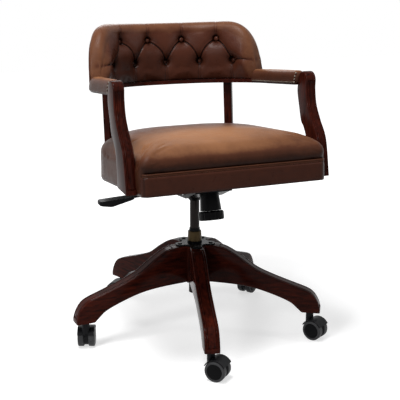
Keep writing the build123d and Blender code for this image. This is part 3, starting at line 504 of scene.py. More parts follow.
def close_mesh(shape: bmesh.types.BMesh, name: str) -> bpy.types.Mesh:
    """Turn a finished bmesh into a mesh and free it.

    Args:
        shape: The bmesh.
        name: Name of the mesh.

    Returns:
        The mesh.
    """
    mesh = bpy.data.meshes.new(name)
    shape.to_mesh(mesh)
    shape.free()
    return mesh


def edges_of(verts: Sequence[bmesh.types.BMVert]) -> list[bmesh.types.BMEdge]:
    """Return the edges that meet some vertices, in an order that is the same each run."""
    return list(dict.fromkeys(edge for vert in verts for edge in vert.link_edges))


def facing(spot: Vector, normal: Vector, size: Spot) -> Matrix:
    """Return the transform that stands a shape on a spot, its Z along the normal."""
    turn = normal.to_track_quat("Z", "Y").to_matrix().to_4x4()
    return Matrix.Translation(spot) @ turn @ Matrix.Diagonal((*size, 1.0))


def new_object(name: str, mesh: bpy.types.Mesh, finish: bpy.types.Material) -> bpy.types.Object:
    """Make a smoothly shaded object at the origin.

    Args:
        name: Name of the piece.
        mesh: Its mesh, with its place in it.
        finish: Its material.

    Returns:
        The object.
    """
    mesh.materials.clear()
    mesh.materials.append(finish)
    for face in mesh.polygons:
        face.use_smooth = True
    made = bpy.data.objects.new(name, mesh)
    bpy.context.scene.collection.objects.link(made)
    return made


def grid_mesh(
    name: str,
    rings: Sequence[Sequence[Vector]],
    layers: dict[str, Sequence[Sequence[float]]],
    closed_along: bool = False,
) -> bpy.types.Mesh:
    """Return a mesh of quads between closed rings.

    Args:
        name: Name of the mesh.
        rings: Closed rings with equal numbers of points.
        layers: Named values of the points, such as the leather's wear and painted light from 0 to 1.
        closed_along: Whether the last ring joins the first; else the ends are closed with a fan.

    Returns:
        The mesh, in metres.
    """
    count = len(rings[0])
    verts = [point for ring in rings for point in ring]
    values = {key: [value for ring in rows for value in ring] for key, rows in layers.items()}
    faces: list[tuple[int, ...]] = []
    last = len(rings) if closed_along else len(rings) - 1
    for row in range(last):
        base, after = row * count, (row + 1) % len(rings) * count
        for col in range(count):
            step = (col + 1) % count
            faces.append((base + col, base + step, after + step, after + col))
    if not closed_along:
        for row, flip in ((0, True), (len(rings) - 1, False)):
            middle = len(verts)
            ring = rings[row]
            verts.append(sum(ring, Vector()) / count)
            for value in values.values():
                value.append(value[row * count])
            for col in range(count):
                pair = (row * count + col, row * count + (col + 1) % count)
                faces.append((pair[1], pair[0], middle) if flip else (*pair, middle))
    mesh = bpy.data.meshes.new(name)
    mesh.from_pydata(verts, [], faces)
    for key, value in values.items():
        set_layer(mesh, key, np.array(value))
    shape = bmesh.new()
    shape.from_mesh(mesh)
    bmesh.ops.recalc_face_normals(shape, faces=shape.faces)
    shape.to_mesh(mesh)
    shape.free()
    return mesh


def subdivide(piece: bpy.types.Object, levels: int) -> None:
    """Subdivide a mesh smoothly and keep the result.

    Args:
        piece: The piece.
        levels: How often each face is divided.
    """
    modifier = piece.modifiers.new("smooth", "SUBSURF")
    modifier.levels = modifier.render_levels = levels
    modifier.use_limit_surface = False
    keep_modifiers(piece)


def keep_modifiers(piece: bpy.types.Object) -> None:
    """Turn a piece's modifiers into plain mesh.

    Args:
        piece: The piece.
    """
    graph = bpy.context.evaluated_depsgraph_get()
    mesh = bpy.data.meshes.new_from_object(piece.evaluated_get(graph), depsgraph=graph)
    piece.modifiers.clear()
    old = piece.data
    piece.data = mesh
    bpy.data.meshes.remove(old)


def set_layer(mesh: bpy.types.Mesh, name: str, values: np.ndarray) -> None:
    """Store one value for each vertex under a name."""
    layer = mesh.attributes.get(name) or mesh.attributes.new(name, "FLOAT", "POINT")
    layer.data.foreach_set("value", values.astype(np.float32))


def get_layer(mesh: bpy.types.Mesh, name: str) -> np.ndarray:
    """Return the stored values of a name."""
    values = np.empty(len(mesh.vertices), dtype=np.float32)
    mesh.attributes[name].data.foreach_get("value", values)
    return values.astype(np.float64)


def press_in(mesh: bpy.types.Mesh, depth: np.ndarray) -> None:
    """Move vertices against their normals.

    Args:
        mesh: The mesh.
        depth: How far each vertex goes, in millimetres.
    """
    normals = np.empty(len(mesh.vertices) * 3, dtype=np.float32)
    mesh.vertices.foreach_get("normal", normals)
    moved = positions(mesh) - normals.reshape(-1, 3) * depth[:, None] * MM
    mesh.vertices.foreach_set("co", moved.ravel())
    mesh.update()


def positions(mesh: bpy.types.Mesh) -> np.ndarray:
    """Return a mesh's vertex places as rows."""
    flat = np.empty(len(mesh.vertices) * 3, dtype=np.float64)
    mesh.vertices.foreach_get("co", flat)
    return flat.reshape(-1, 3)


@dataclass(frozen=True)
class Stuffing:
    """Cloth run that fills a padded piece out a little."""

    pressure: float
    cap: float
    frames: int
    stiffness: float = 15.0
    weight: float = 0.3
    bending: float = 0.5
    quality: int = 6

    def fill(self, piece: bpy.types.Object, hold: Sequence[float]) -> None:
        """Inflate a piece and keep the result.

        Args:
            piece: Closed padded piece.
            hold: How firmly each vertex is held, from 0 to 1.
        """
        before = positions(piece.data)
        group = piece.vertex_groups.new(name="held")
        for index, weight in enumerate(hold):
            if weight > 0.0:
                group.add([index], weight, "REPLACE")
        modifier = piece.modifiers.new("stuffing", "CLOTH")
        settings = modifier.settings
        settings.quality = self.quality
        settings.mass = self.weight
        settings.tension_stiffness = settings.compression_stiffness = self.stiffness
        settings.shear_stiffness = self.stiffness / 3
        settings.bending_stiffness = self.bending
        settings.use_pressure = True
        settings.uniform_pressure_force = self.pressure
        settings.effector_weights.gravity = 0.0
        settings.vertex_group_mass = group.name
        settings.pin_stiffness = 1.0
        modifier.point_cache.frame_start = 1
        modifier.point_cache.frame_end = self.frames
        scene = bpy.context.scene
        for number in range(1, self.frames + 1):
            scene.frame_set(number)
        keep_modifiers(piece)
        scene.frame_set(1)
        move = positions(piece.data) - before
        length = np.linalg.norm(move, axis=1, keepdims=True)
        scale = np.minimum(1.0, self.cap / np.maximum(length, 1e-9))
        piece.data.vertices.foreach_set("co", (before + move * scale).ravel())
        piece.data.update()
        piece.vertex_groups.clear()


# Tufting


@dataclass(frozen=True)
class TuftPattern:
    """Buttons in two staggered rows and the pleats between them, in millimetres on the back's face."""

    pitch: float = 98.0
    lower: float = 48.0
    upper: float = 104.0
    arc: float = 6.0
    shift: float = 6.0

    @property
    def lower_buttons(self) -> list[Point]:
        """Places of the five lower buttons."""
        return [(index * self.pitch + self.shift, self.lower) for index in (-2, -1, 0, 1, 2)]

    @property
    def upper_buttons(self) -> list[Point]:
        """Places of the four upper buttons."""
        return [((index + 0.5) * self.pitch + self.shift, self.upper) for index in (-2, -1, 0, 1)]

    def near(self, flat: np.ndarray) -> np.ndarray:
        """Return each point's distance to the nearest button."""
        buttons = np.array(self.lower_buttons + self.upper_buttons)
        return np.min(np.linalg.norm(flat[:, None, :] - buttons[None, :, :], axis=2), axis=1)

    def uprights(self, top: float) -> list[list[Point]]:
        """Return the pleats over the upper buttons and under the lower ones."""
        return [[spot, (spot[0], top)] for spot in self.upper_buttons] + [
            [spot, (spot[0], 0.0)] for spot in self.lower_buttons
        ]

    def folds(self, top: float) -> list[list[Point]]:
        """Trace the pairs of thin folds that each upright pleat is gathered in.

        Args:
            top: Height of the back.

        Returns:
            A run of points for each fold.
        """
        made = []
        for (x, low), (_, high) in self.uprights(top):
            middle = low + (high - low) * 0.35
            for side in (-1.0, 1.0):
                made.append([(x, low), (x + side * 2.6, middle), (x + side * 3.4, high)])
        return made

    def levels(self, end: float) -> list[list[Point]]:
        """Trace the pleats from the last lower buttons to the ends of the back.

        Args:
            end: Run at which the back ends.

        Returns:
            A run of points for each pleat.
        """
        made = []
        for x, y in (self.lower_buttons[0], self.lower_buttons[-1]):
            side = math.copysign(1.0, x)
            made.append([(x, y), (x + side * 14, y + 2), (x + side * 36, y + 3), (side * end, y + 1)])
        return made

    def diagonals(self, steps: int = 8) -> list[list[Point]]:
        """Return the curved pleats from each upper button to its lower neighbours.

        Args:
            steps: Number of straight stretches in each.

        Returns:
            A run of points for each pleat.
        """
        runs = []
        for top in self.upper_buttons:
            for foot in self.lower_buttons:
                if abs(top[0] - foot[0]) > self.pitch * 0.6:
                    continue
                side = math.copysign(1.0, foot[0] - top[0])
                run = []
                for share in (step / steps for step in range(steps + 1)):
                    sag = self.arc * math.sin(math.pi * share)
                    across, up = between(top[0], foot[0], share), between(top[1], foot[1], share)
                    run.append((across + side * sag, up + sag))
                runs.append(run)
        return runs


def distance_to_runs(points: np.ndarray, runs: Sequence[Sequence[Point]]) -> np.ndarray:
    """Measure points against several polylines.

    Args:
        points: The points, as rows.
        runs: The polylines.

    Returns:
        Each point's distance to the nearest polyline.
    """
    best = np.full(len(points), 1e9)
    for run in runs:
        for start, end in zip(run, run[1:]):
            a, b = np.array(start), np.array(end)
            line = b - a
            share = np.clip(((points - a) @ line) / (line @ line), 0.0, 1.0)
            best = np.minimum(best, np.linalg.norm(points - (a + share[:, None] * line), axis=1))
    return best


@dataclass(frozen=True)
class BackPad:
    """The tufted back: crest roll, diamonds between buttons and plain ends."""

    path: RailPath
    pattern: TuftPattern
    end: float = 270.0
    height: float = 149.0
    small_rise: float = 62.0
    full_run: float = 168.0
    roll_run: float = 102.4
    roll_power: float = 2.6
    base: float = 224.3
    outer: float = 20.0
    inner_foot: float = 21.0
    fullness: float = 12.0
    crest_inner: float = 21.0
    crest_bend: float = 26.0
    corner_in: float = 26.0
    corner_out: float = 16.0
    along: int = 92
    outer_steps: int = 8
    crest_steps: int = 16
    face_steps: int = 27
    foot_steps: int = 6

    def crest_stations(self) -> list[float]:
        """Return the runs at which the crest line is taken, close together where it rolls down."""
        last = self.full_run + self.roll_run
        return [0.0, self.full_run] + [last - self.roll_run * (1 - step / 24) ** 2 for step in range(1, 25)]

    def round_off(self, run: float, rise: float) -> float:
        """Return the share of the half thickness that the inner face has beside the crest line."""
        near = 1.0 - min(self.from_crest(np.array([(run, rise)]))[0] / self.crest_bend, 1.0)
        return math.sqrt(1.0 - near * near)

    def rise(self, run: float) -> float:
        """Return the back's height above its base at a run."""
        share = max(abs(run) - self.full_run, 0.0) / self.roll_run
        return self.height * (1 - share**self.roll_power) ** (1 / self.roll_power)

    def section(self, run: float) -> list[Spot]:
        """Return the section at a run, from the outer foot over the crest and back along the base.

        Args:
            run: Distance along the path.

        Returns:
            Points (inward, rise, face share); the share goes from 0 outside to 1 inside and is -1 below.
        """
        rise = self.rise(run)
        scale = min(1.0, rise / self.small_rise)
        corner_in, corner_out = self.corner_in * scale, self.corner_out * scale
        middle = (self.crest_inner - self.outer) / 2
        half = (self.crest_inner + self.outer) / 2
        points = [
            (-self.outer, (rise - corner_out) * step / self.outer_steps, 0.0) for step in range(self.outer_steps)
        ]
        for step in range(self.crest_steps + 1):
            turn = math.pi * (1 - step / self.crest_steps)
            drop = corner_out if turn > math.pi / 2 else corner_in
            high = rise - drop + drop * math.sin(turn)
            wide = math.cos(turn) if turn > math.pi / 2 else self.round_off(run, high)
            points.append((middle + half * wide, high, step / self.crest_steps * 0.999))
        for share in (step / self.face_steps for step in range(1, self.face_steps + 1)):
            high = (rise - corner_in) * (1 - share)
            bulge = self.fullness * scale * math.sin(math.pi * share**0.85) ** 1.3
            rounded = self.round_off(run, high)
            points.append((middle + half * rounded + bulge * rounded**3, high, 1.0))
        foot, steps = self.inner_foot + self.outer, self.foot_steps
        points += [(self.inner_foot - foot * step / steps, 0.0, -1.0) for step in range(1, steps)]
        return points

    def build(self, leather: bpy.types.Material) -> bpy.types.Object:
        """Build the dressed back.

        Args:
            leather: Finish of the cover.

        Returns:
            The back.
        """
        runs = [self.end * (2 * index / self.along - 1) for index in range(self.along + 1)]
        sections = [self.section(run) for run in runs]
        flat = np.array([(run, max(rise, 0.0)) for run, ring in zip(runs, sections) for _, rise, _ in ring])
        face = np.array([share for ring in sections for *_, share in ring])
        count = len(sections[0])
        sinks = self.dimples(flat, face).reshape(-1, count)
        rings: list[list[Vector]] = []
        for run, ring, row in zip(runs, sections, sinks):
            rings.append(
                [
                    self.path.place(
                        run,
                        inward - sink * abs(share),
                        self.base + rise - (sink * 0.7 * (1 - share) if 0.0 < share < 1.0 else 0.0),
                    )
                    for (inward, rise, share), sink in zip(ring, row)
                ]
            )
        layers = {
            "run": flat[:, 0].reshape(-1, count),
            "rise": flat[:, 1].reshape(-1, count),
            "face": face.reshape(-1, count),
            "crest": self.from_crest(flat).reshape(-1, count),
        }
        piece = new_object("back_leather", grid_mesh("back_leather", rings, layers), leather)
        sunk = sinks.ravel()
        loose = np.where(face >= 0.0, smooth_array(0.45, 1.0, face), 0.0)
        hold = list(1.0 - loose * (1.0 - np.clip(sunk / 7.0, 0.0, 1.0)))
        Stuffing(pressure=3.0, cap=0.004, frames=16).fill(piece, hold + [1.0, 1.0])
        subdivide(piece, 2)
        self.crease(piece.data)
        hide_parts("back_pad")
        return piece

    def from_crest(self, flat: np.ndarray) -> np.ndarray:
        """Return each point's distance to the crest line."""
        crest = [(at, self.rise(at)) for at in self.crest_stations()]
        return distance_to_runs(np.abs(flat), [crest])

    def dimples(self, flat: np.ndarray, face: np.ndarray) -> np.ndarray:
        """Return the broad depth of the tufts in millimetres.

        Args:
            flat: Run and rise of each point.
            face: Share of the way over the crest, 1 on the inner face.

        Returns:
            How far each point is drawn in.
        """
        pattern = self.pattern
        inner = np.clip(face, 0.0, 1.0) ** 2
        over = np.where(face > 0.0, np.maximum(inner, 0.4), 0.0)
        depth = 9.5 * fade(pattern.near(flat), 17.0, 2) * inner
        depth += 6.5 * fade(distance_to_runs(flat, pattern.diagonals()), 10.0) * inner
        depth += 2.2 * fade(distance_to_runs(flat, pattern.uprights(self.height)), 6.0) * over
        depth += 4.5 * fade(distance_to_runs(flat, pattern.levels(self.end)), 7.0) * over
        return depth

    def crease(self, mesh: bpy.types.Mesh) -> None:
        """Press creases and button pockets in, and store the leather's wear with painted light and shade.

        Args:
            mesh: Mesh of the subdivided back.
        """
        pattern = self.pattern
        face, rise = get_layer(mesh, "face"), get_layer(mesh, "rise")
        flat = np.stack([get_layer(mesh, "run"), rise], axis=1)
        inner = np.where(face >= 0.98, 1.0, np.clip(face, 0.0, 1.0) ** 2)
        over = np.where(face > 0.02, np.maximum(inner, 0.6), 0.0)
        near = pattern.near(flat)
        diagonal = distance_to_runs(flat, pattern.diagonals())
        upright = distance_to_runs(flat, pattern.folds(self.height))
        level = distance_to_runs(flat, pattern.levels(self.end))
        depth = (1.6 * fade(diagonal, 1.2, 2) + fade(diagonal, 3.5) - 0.7 * fade(diagonal - 3.6, 1.6, 2)) * inner
        depth += (0.7 * fade(upright, 1.2, 2) + 0.3 * fade(upright, 3.0)) * over
        depth += (1.3 * fade(level, 1.3, 2) + 0.9 * fade(level, 3.5)) * over
        depth += 5.0 * fade(near, 8.0, 4) * inner
        press_in(mesh, depth)
        # painted highlight along the crest's roll; darker along the foot of the face
        wear_and_shading = 0.44 + 0.26 * fade(get_layer(mesh, "crest"), 24.0, 2) - 0.30 * fade(rise, 7.0)
        # painted shade in the diagonal creases
        wear_and_shading -= (0.34 * fade(diagonal, 1.5, 2) + 0.12 * fade(diagonal, 6.0)) * inner
        # painted highlight on the lip beside each diagonal crease; painted shade round the button pockets
        wear_and_shading += (0.16 * fade(diagonal - 3.8, 1.3, 2) - 0.4 * fade(near, 9.5, 2) - 0.12 * fade(near, 16.0)) * inner
        # painted shade in the upright and level pleats
        wear_and_shading -= (0.22 * fade(upright, 1.3, 2) + 0.30 * fade(level, 1.6, 2)) * over
        # the foot under the back is set darkest, as painted shade
        set_layer(mesh, "wear_and_shading", np.clip(np.where(face < -0.02, 0.1, wear_and_shading), 0.0, 1.0))


@dataclass(frozen=True)
class TuftButtons:
    """Leather-covered buttons sunk in the tufts."""

    path: RailPath
    pattern: TuftPattern
    radius: float = 6.4
    dome: float = 3.8
    base: float = 224.3
    sunk: float = 9.2
    wear_and_shading: float = 0.46

    def build(self, leather: bpy.types.Material) -> bpy.types.Object:
        """Build the nine buttons as one piece.

        Args:
            leather: Finish of the cover.

        Returns:
            The buttons.
        """
        shape = bmesh.new()
        size = (self.radius * MM, self.radius * MM, self.dome * MM)
        for run, rise in self.pattern.lower_buttons + self.pattern.upper_buttons:
            centre = self.path.place(run, self.sunk, self.base + rise)
            inward = self.path.place(run, self.sunk + 1.0, self.base + rise) - centre
            place = facing(centre, inward, size)
            bmesh.ops.create_uvsphere(shape, u_segments=24, v_segments=14, radius=1.0, matrix=place)
        mesh = close_mesh(shape, "back_buttons")
        set_layer(mesh, "wear_and_shading", np.full(len(mesh.vertices), self.wear_and_shading))
        piece = new_object("back_buttons", mesh, leather)
        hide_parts("tuft_buttons")
        return piece


# Seat, arms and covers


@dataclass(frozen=True)
class SeatCushion:
    """The crowned seat: a full front edge, sides drawn in at the foot and a domed top."""

    seat: SeatFrame
    outline: Outline
    bottom: float = 47.8
    height: float = 71.0
    wall_foot: float = 2.5
    wall_out: float = 1.3
    held_rows: int = 6
    floor_shares: tuple[float, ...] = (0.3, 0.6, 0.85, 0.97)
    side_shares: tuple[Point, ...] = (
        (0.0, 0.965), (0.06, 0.984), (0.16, 0.996), (0.3, 0.999), (0.46, 0.985), (0.6, 0.945),
        (0.72, 0.875), (0.82, 0.78), (0.9, 0.64), (0.955, 0.47), (0.985, 0.3), (1.0, 0.1),
    )

    def build(self, leather: bpy.types.Material) -> bpy.types.Object:
        """Build the dressed cushion.

        Args:
            leather: Finish of the cover.

        Returns:
            The cushion.
        """
        around = self.outline.points()
        rings, worn_and_lit = [], []
        for share in self.floor_shares:
            ring = [self.outline.shrunk(point, share) for point in around]
            rings.append([self.seat.world(x, y, self.bottom) for x, y in ring])
            # the underside is set darkest, as painted shade under the cushion
            worn_and_lit.append([0.1] * len(ring))
        for rise, share in catmull(self.side_shares, 4):
            low = 1.0 - smooth_step(0.0, 0.3, rise)
            ring, values = [], []
            for point in around:
                wall = 1.0 - smooth_step(0.1, 0.8, -point[3])
                out = self.wall_out * wall * low
                x, y = self.outline.shrunk(point, share + (1.0 - share) * wall * low)
                x, y = x + point[2] * out, y + point[3] * out
                drop = (self.bottom - self.wall_foot) * wall * max(0.0, 1.0 - rise / 0.1)
                ring.append(self.seat.world(x, y, self.bottom + rise * self.height - drop))
                values.append(self.wear_and_shading(x, y, rise, wall))
            rings.append(ring)
            worn_and_lit.append(values)
        piece = new_object("seat_leather", grid_mesh("seat_leather", rings, {"wear_and_shading": worn_and_lit}), leather)
        hold = [float(row < self.held_rows) for row, ring in enumerate(rings) for _ in ring]
        Stuffing(pressure=2.0, cap=0.0025, frames=14).fill(piece, hold + [1.0, 0.0])
        subdivide(piece, 1)
        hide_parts("seat_cushion")
        return piece

    def wear_and_shading(self, x: float, y: float, rise: float, wall: float) -> float:
        """Return the leather's wear and painted light at a place of the cushion."""
        # painted light: the top lighter than the walls, a painted highlight pool towards the front left of the
        # top, and the front wall darkest as painted shade
        top = smooth_step(0.12, 0.62, rise)
        middle = math.exp(-(((x + 30) / 230.0) ** 2) - (((y + 150) / 120.0) ** 2))
        return 0.1 + 0.18 * wall * (1 - top) + top * (0.34 + 0.56 * middle)


@dataclass(frozen=True)
class ArmPad:
    """A leather arm pad over the rail, from the end of the back to the post."""

    path: RailPath
    side: float
    start: float = 270.4
    skirt: float = 2.8
    skirt_gap: float = 0.4
    foot: float = 217.0
    crown: float = 248.0
    roundness: float = 0.72
    nose: float = 15.0
    post_back: float = 123.4
    post_lean: float = 5.6
    post_bend: Point = (200.0, 226.0)
    rows: int = 48
    steps: int = 26

    def reaches(self, run: float) -> Point:
        """Find how wide the pad is.

        Args:
            run: Distance along the path.

        Returns:
            Its reach outward and inward of the path.
        """
        wide = self.path.half_width + self.skirt
        share = max(0.0, (run - self.path.arc_end) / -self.path.end)
        centre = self.path.flat + self.path.radius
        outer = self.path.end_outer + self.skirt - centre
        inner = centre - self.path.end_inner + self.skirt
        return wide + (outer - wide) * share, wide + (inner - wide) * share

    def bow(self, turn: float) -> Point:
        """Return the shares of the half width and the height at a turn round the pad's section."""
        cosine, sine = math.cos(turn), math.sin(turn)
        return math.copysign(abs(cosine) ** self.roundness, cosine), abs(sine) ** self.roundness

    def skin(self, run: float, sign: float, height: float) -> Point:
        """Find the pad's face.

        Args:
            run: Distance along the path.
            sign: 1 for the inner face, -1 for the outer.
            height: Height in the seat's frame.

        Returns:
            How far inward the face lies, and how much it leans up.
        """
        out, inn = self.reaches(run)
        middle, half = (inn - out) / 2, (inn + out) / 2
        rise = ((height - self.foot) / (self.crown - self.foot)) ** (1 / self.roundness)
        turn = math.asin(min(rise, 1.0))
        wide, _ = self.bow(turn)
        return middle + sign * half * wide, 0.9 * math.sin(turn)

    def build(self, leather: bpy.types.Material) -> bpy.types.Object:
        """Build the dressed pad.

        Args:
            leather: Finish of the cover.

        Returns:
            The pad.
        """
        stop = self.path.arc_end - self.path.end - self.path.setback
        rings, worn_and_lit = [], []
        for row in range(self.rows + 1):
            run = self.start + (stop - self.start) * row / self.rows
            out, inn = self.reaches(run)
            middle, half = (inn - out) / 2, (inn + out) / 2
            ring, values = [], []
            ahead = max(0.0, 1.0 - (stop - run) / self.nose)
            drawn = (1.0 - ahead**2.5) ** 0.5
            for step in range(self.steps + 1):
                turn = math.pi * (1 - step / self.steps)
                wide, high = self.bow(turn)
                wide *= 0.75 + 0.25 * drawn
                high *= 0.45 + 0.55 * drawn
                ring.append((middle + half * wide, self.foot + (self.crown - self.foot) * high))
                # lighter towards the top of the pad
                values.append(0.25 + 0.52 * high**5)
            hem = self.skirt - self.skirt_gap
            rail = self.path.top + 0.3
            low, high = hem - out, inn - hem
            foot = [(high, self.foot), (high, rail), (middle, rail), (low, rail), (low, self.foot)]
            ring += foot
            # darkest along the foot over the rail
            values += [0.1] * len(foot)
            rings.append(
                [
                    self.path.place(self.side * min(run, self.front_edge(height)), inward, height)
                    for inward, height in ring
                ]
            )
            worn_and_lit.append(values)
        name = f"arm_leather_{side_name(self.side)}"
        piece = new_object(name, grid_mesh(name, rings, {"wear_and_shading": worn_and_lit}), leather)
        ends = (0, self.rows)
        hold = [float(value < 0.35 or row in ends) for row, ring in enumerate(worn_and_lit) for value in ring]
        Stuffing(pressure=3.0, cap=0.002, frames=12).fill(piece, hold + [1.0, 1.0])
        subdivide(piece, 1)
        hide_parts(f"arm_pad_{side_name(self.side)}")
        return piece

    def front_edge(self, height: float) -> float:
        """Return the run at which the pad meets the post's curved back at a height."""
        lean = smooth_step(*self.post_bend, height) * self.post_lean - self.post_lean
        return self.path.arc_end + (self.post_back + lean) - self.path.setback


@dataclass(frozen=True)
class BackShell:
    """Smooth leather on the outside of the back, below the crest's roll."""

    back: BackPad
    inner: float = 20.3
    thickness: float = 3.0
    drop: float = 22.0
    along: int = 90

    def build(self, leather: bpy.types.Material) -> bpy.types.Object:
        """Build the dressed shell.

        Args:
            leather: Finish of the cover.

        Returns:
            The shell.
        """
        rings = []
        for index in range(self.along + 1):
            run = self.back.end * (2 * index / self.along - 1)
            rise = self.back.rise(run)
            top = max(rise - self.drop * min(1.0, rise / self.back.small_rise), 0.5)
            edge = min(self.thickness, top / 2)
            ring = [(-self.inner - self.thickness, top * step / 10) for step in range(10)]
            ring = [(out, min(height, top - edge)) for out, height in ring]
            for step in range(5):
                turn = math.pi / 2 * step / 4
                ring.append((-self.inner - self.thickness * math.cos(turn), top - edge + edge * math.sin(turn)))
            ring += [(-self.inner, top * step / 4) for step in (3, 2, 1, 0)]
            rings.append([self.back.path.place(run, out, self.back.base + height) for out, height in ring])
        worn_and_lit = [[0.5] * len(ring) for ring in rings]
        piece = new_object("back_shell_leather", grid_mesh("back_shell_leather", rings, {"wear_and_shading": worn_and_lit}), leather)
        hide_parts("back_shell")
        return piece


@dataclass(frozen=True)
class Apron:
    """Leather wrapped round the seat frame, gathered in small pleats at the front corners."""

    seat: SeatFrame
    outline: Outline
    height: float = 43.0
    thickness: float = 3.7
    pleat_depth: float = 0.9
    pleat_pitch: float = 11.0

    def build(self, leather: bpy.types.Material) -> bpy.types.Object:
        """Build the dressed apron.

        Args:
            leather: Finish of the cover.

        Returns:
            The apron.
        """
        around = self.outline.points(4.0)
        rings, worn_and_lit = [], []
        travelled = 0.0
        last = around[0]
        for point in around:
            x, y, nx, ny = point
            travelled += math.hypot(x - last[0], y - last[1])
            last = point
            gather = self.gather(nx, ny, y)
            wave = 0.5 + 0.5 * math.cos(2 * math.pi * travelled / self.pleat_pitch)
            ring, values = [], []
            for step in range(9):
                rise = step / 8
                puff = 0.8 * math.sin(math.pi * rise) ** 0.6 - 0.6
                out = puff - gather * self.pleat_depth * wave * (1 - 0.55 * rise)
                ring.append(self.seat.world(x + nx * out, y + ny * out, self.height * rise))
                # painted shade in the hollows of the gathered pleats
                values.append(0.34 - 0.2 * gather * wave)
            for rise in (1.0, 0.5, 0.0):
                ring.append(self.seat.world(x - nx * self.thickness, y - ny * self.thickness, self.height * rise))
                values.append(0.2)
            rings.append(ring)
            worn_and_lit.append(values)
        mesh = grid_mesh("apron_leather", rings, {"wear_and_shading": worn_and_lit}, closed_along=True)
        piece = new_object("apron_leather", mesh, leather)
        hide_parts("apron")
        return piece

    @staticmethod
    def gather(nx: float, ny: float, y: float) -> float:
        """Return how strongly the leather is gathered at a place, 1 in the middle of a front corner."""
        return 0.0 if y > 0 else smooth_step(0.25, 0.95, abs(nx * ny) * 2)


@dataclass(frozen=True)
class Piping:
    """Leather-covered double welt round the front of the seat, between the posts."""

    seat: SeatFrame
    outline: Outline
    inset: float = 1.8
    start: float = math.radians(28.0)
    welts: tuple[Point, ...] = ((48.3, 1.9), (44.8, 1.6))
    # the welts are set darker than the cushion, as painted shade in the tuck under it
    wear_and_shading: float = 0.4

    def build(self, leather: bpy.types.Material) -> bpy.types.Object:
        """Build both welts as one piece.

        Args:
            leather: Finish of the cover.

        Returns:
            The piping.
        """
        shape = bmesh.new()
        for rise, radius in self.welts:
            self.welt(shape, rise, radius)
        bmesh.ops.holes_fill(shape, edges=[edge for edge in shape.edges if edge.is_boundary], sides=0)
        bmesh.ops.recalc_face_normals(shape, faces=shape.faces)
        shape.transform(self.seat.matrix)
        mesh = close_mesh(shape, "seat_piping")
        set_layer(mesh, "wear_and_shading", np.full(len(mesh.vertices), self.wear_and_shading))
        piece = new_object("seat_piping", mesh, leather)
        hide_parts("piping")
        return piece

    def welt(self, shape: bmesh.types.BMesh, rise: float, radius: float) -> None:
        """Add one welt: round a corner, along the front and round the other corner.

        Args:
            shape: The bmesh that takes it.
            rise: Its height above the seat's underside.
            radius: Its radius.
        """
        corner = self.outline.front_corner
        x, y = self.outline.half_width - corner, corner - self.outline.front
        up = Vector((0.0, 0.0, 1.0))
        out = Vector((math.cos(self.start), -math.sin(self.start), 0.0))
        turn = Matrix((out, up, out.cross(up))).transposed().to_4x4()
        place = Matrix.Translation(Vector((x, y, rise)) + out * (corner - self.inset)) @ turn
        ring = bmesh.ops.create_circle(shape, segments=14, radius=radius, matrix=place)["verts"]
        geom = ring + edges_of(ring)
        sweep = self.start - math.pi / 2
        geom = self.bend(shape, geom, Vector((x, y, rise)), sweep)
        edges = [part for part in geom if isinstance(part, bmesh.types.BMEdge)]
        run = bmesh.ops.extrude_edge_only(shape, edges=edges)["geom"]
        verts = [part for part in run if isinstance(part, bmesh.types.BMVert)]
        bmesh.ops.translate(shape, verts=verts, vec=(-2 * x, 0.0, 0.0))
        ends = set(verts)
        edges = [part for part in run if isinstance(part, bmesh.types.BMEdge) and set(part.verts) <= ends]
        self.bend(shape, verts + edges, Vector((-x, y, rise)), sweep)

    @staticmethod
    def bend(shape: bmesh.types.BMesh, geom: list, centre: Vector, sweep: float) -> list:
        """Carry a ring round a corner.

        Args:
            shape: The bmesh that takes it.
            geom: Vertices and edges of the ring.
            centre: Middle of the corner.
            sweep: Angle of the turn.

        Returns:
            The ring in its last place.
        """
        made = bmesh.ops.spin(
            shape, geom=geom, cent=centre, axis=(0.0, 0.0, 1.0), angle=sweep, steps=10, use_duplicate=False
        )
        return made["geom_last"]


@dataclass(frozen=True)
class Nailheads:
    """Small antique nailheads along the inner foot of an arm pad, and larger ones up its front end."""

    pad: ArmPad
    small: float = 1.35
    large: float = 2.2
    pitch: float = 4.3
    front_pitch: float = 7.4
    front_inset: float = 4.0
    rise: float = 220.0
    front_rows: int = 4
    dome: float = 0.7

    def build(self, brass: bpy.types.Material) -> bpy.types.Object:
        """Build one pad's nailheads as one piece.

        Args:
            brass: Finish of the nailheads.

        Returns:
            The nailheads.
        """
        shape = bmesh.new()
        stop = self.pad.front_edge(self.rise) - self.front_inset - self.front_pitch
        for index in range(round((stop - self.pad.start - self.pitch) / self.pitch)):
            self.add(shape, stop - index * self.pitch, 1.0, self.rise, self.small)
        for row in range(self.front_rows):
            height = self.rise + row * self.front_pitch
            for sign in (-1.0, 1.0):
                self.add(shape, self.pad.front_edge(height) - self.front_inset, sign, height, self.large)
        name = f"nailheads_{side_name(self.pad.side)}"
        return new_object(name, close_mesh(shape, name), brass)

    def add(self, shape: bmesh.types.BMesh, run: float, sign: float, height: float, radius: float) -> None:
        """Add one nailhead.

        Args:
            shape: The bmesh that takes it.
            run: Distance along the path.
            sign: 1 for the pad's inner face, -1 for the outer.
            height: Height in the seat's frame.
            radius: Its radius.
        """
        inward, lean = self.pad.skin(run, sign, height)
        place = self.pad.path.place(self.pad.side * run, inward, height)
        normal = self.pad.path.place(self.pad.side * run, inward + sign, height + lean) - place
        place = facing(place, normal, (radius * MM, radius * MM, radius * self.dome * MM))
        bmesh.ops.create_uvsphere(shape, u_segments=12, v_segments=6, radius=1.0, matrix=place)


# Casters and tilt spring


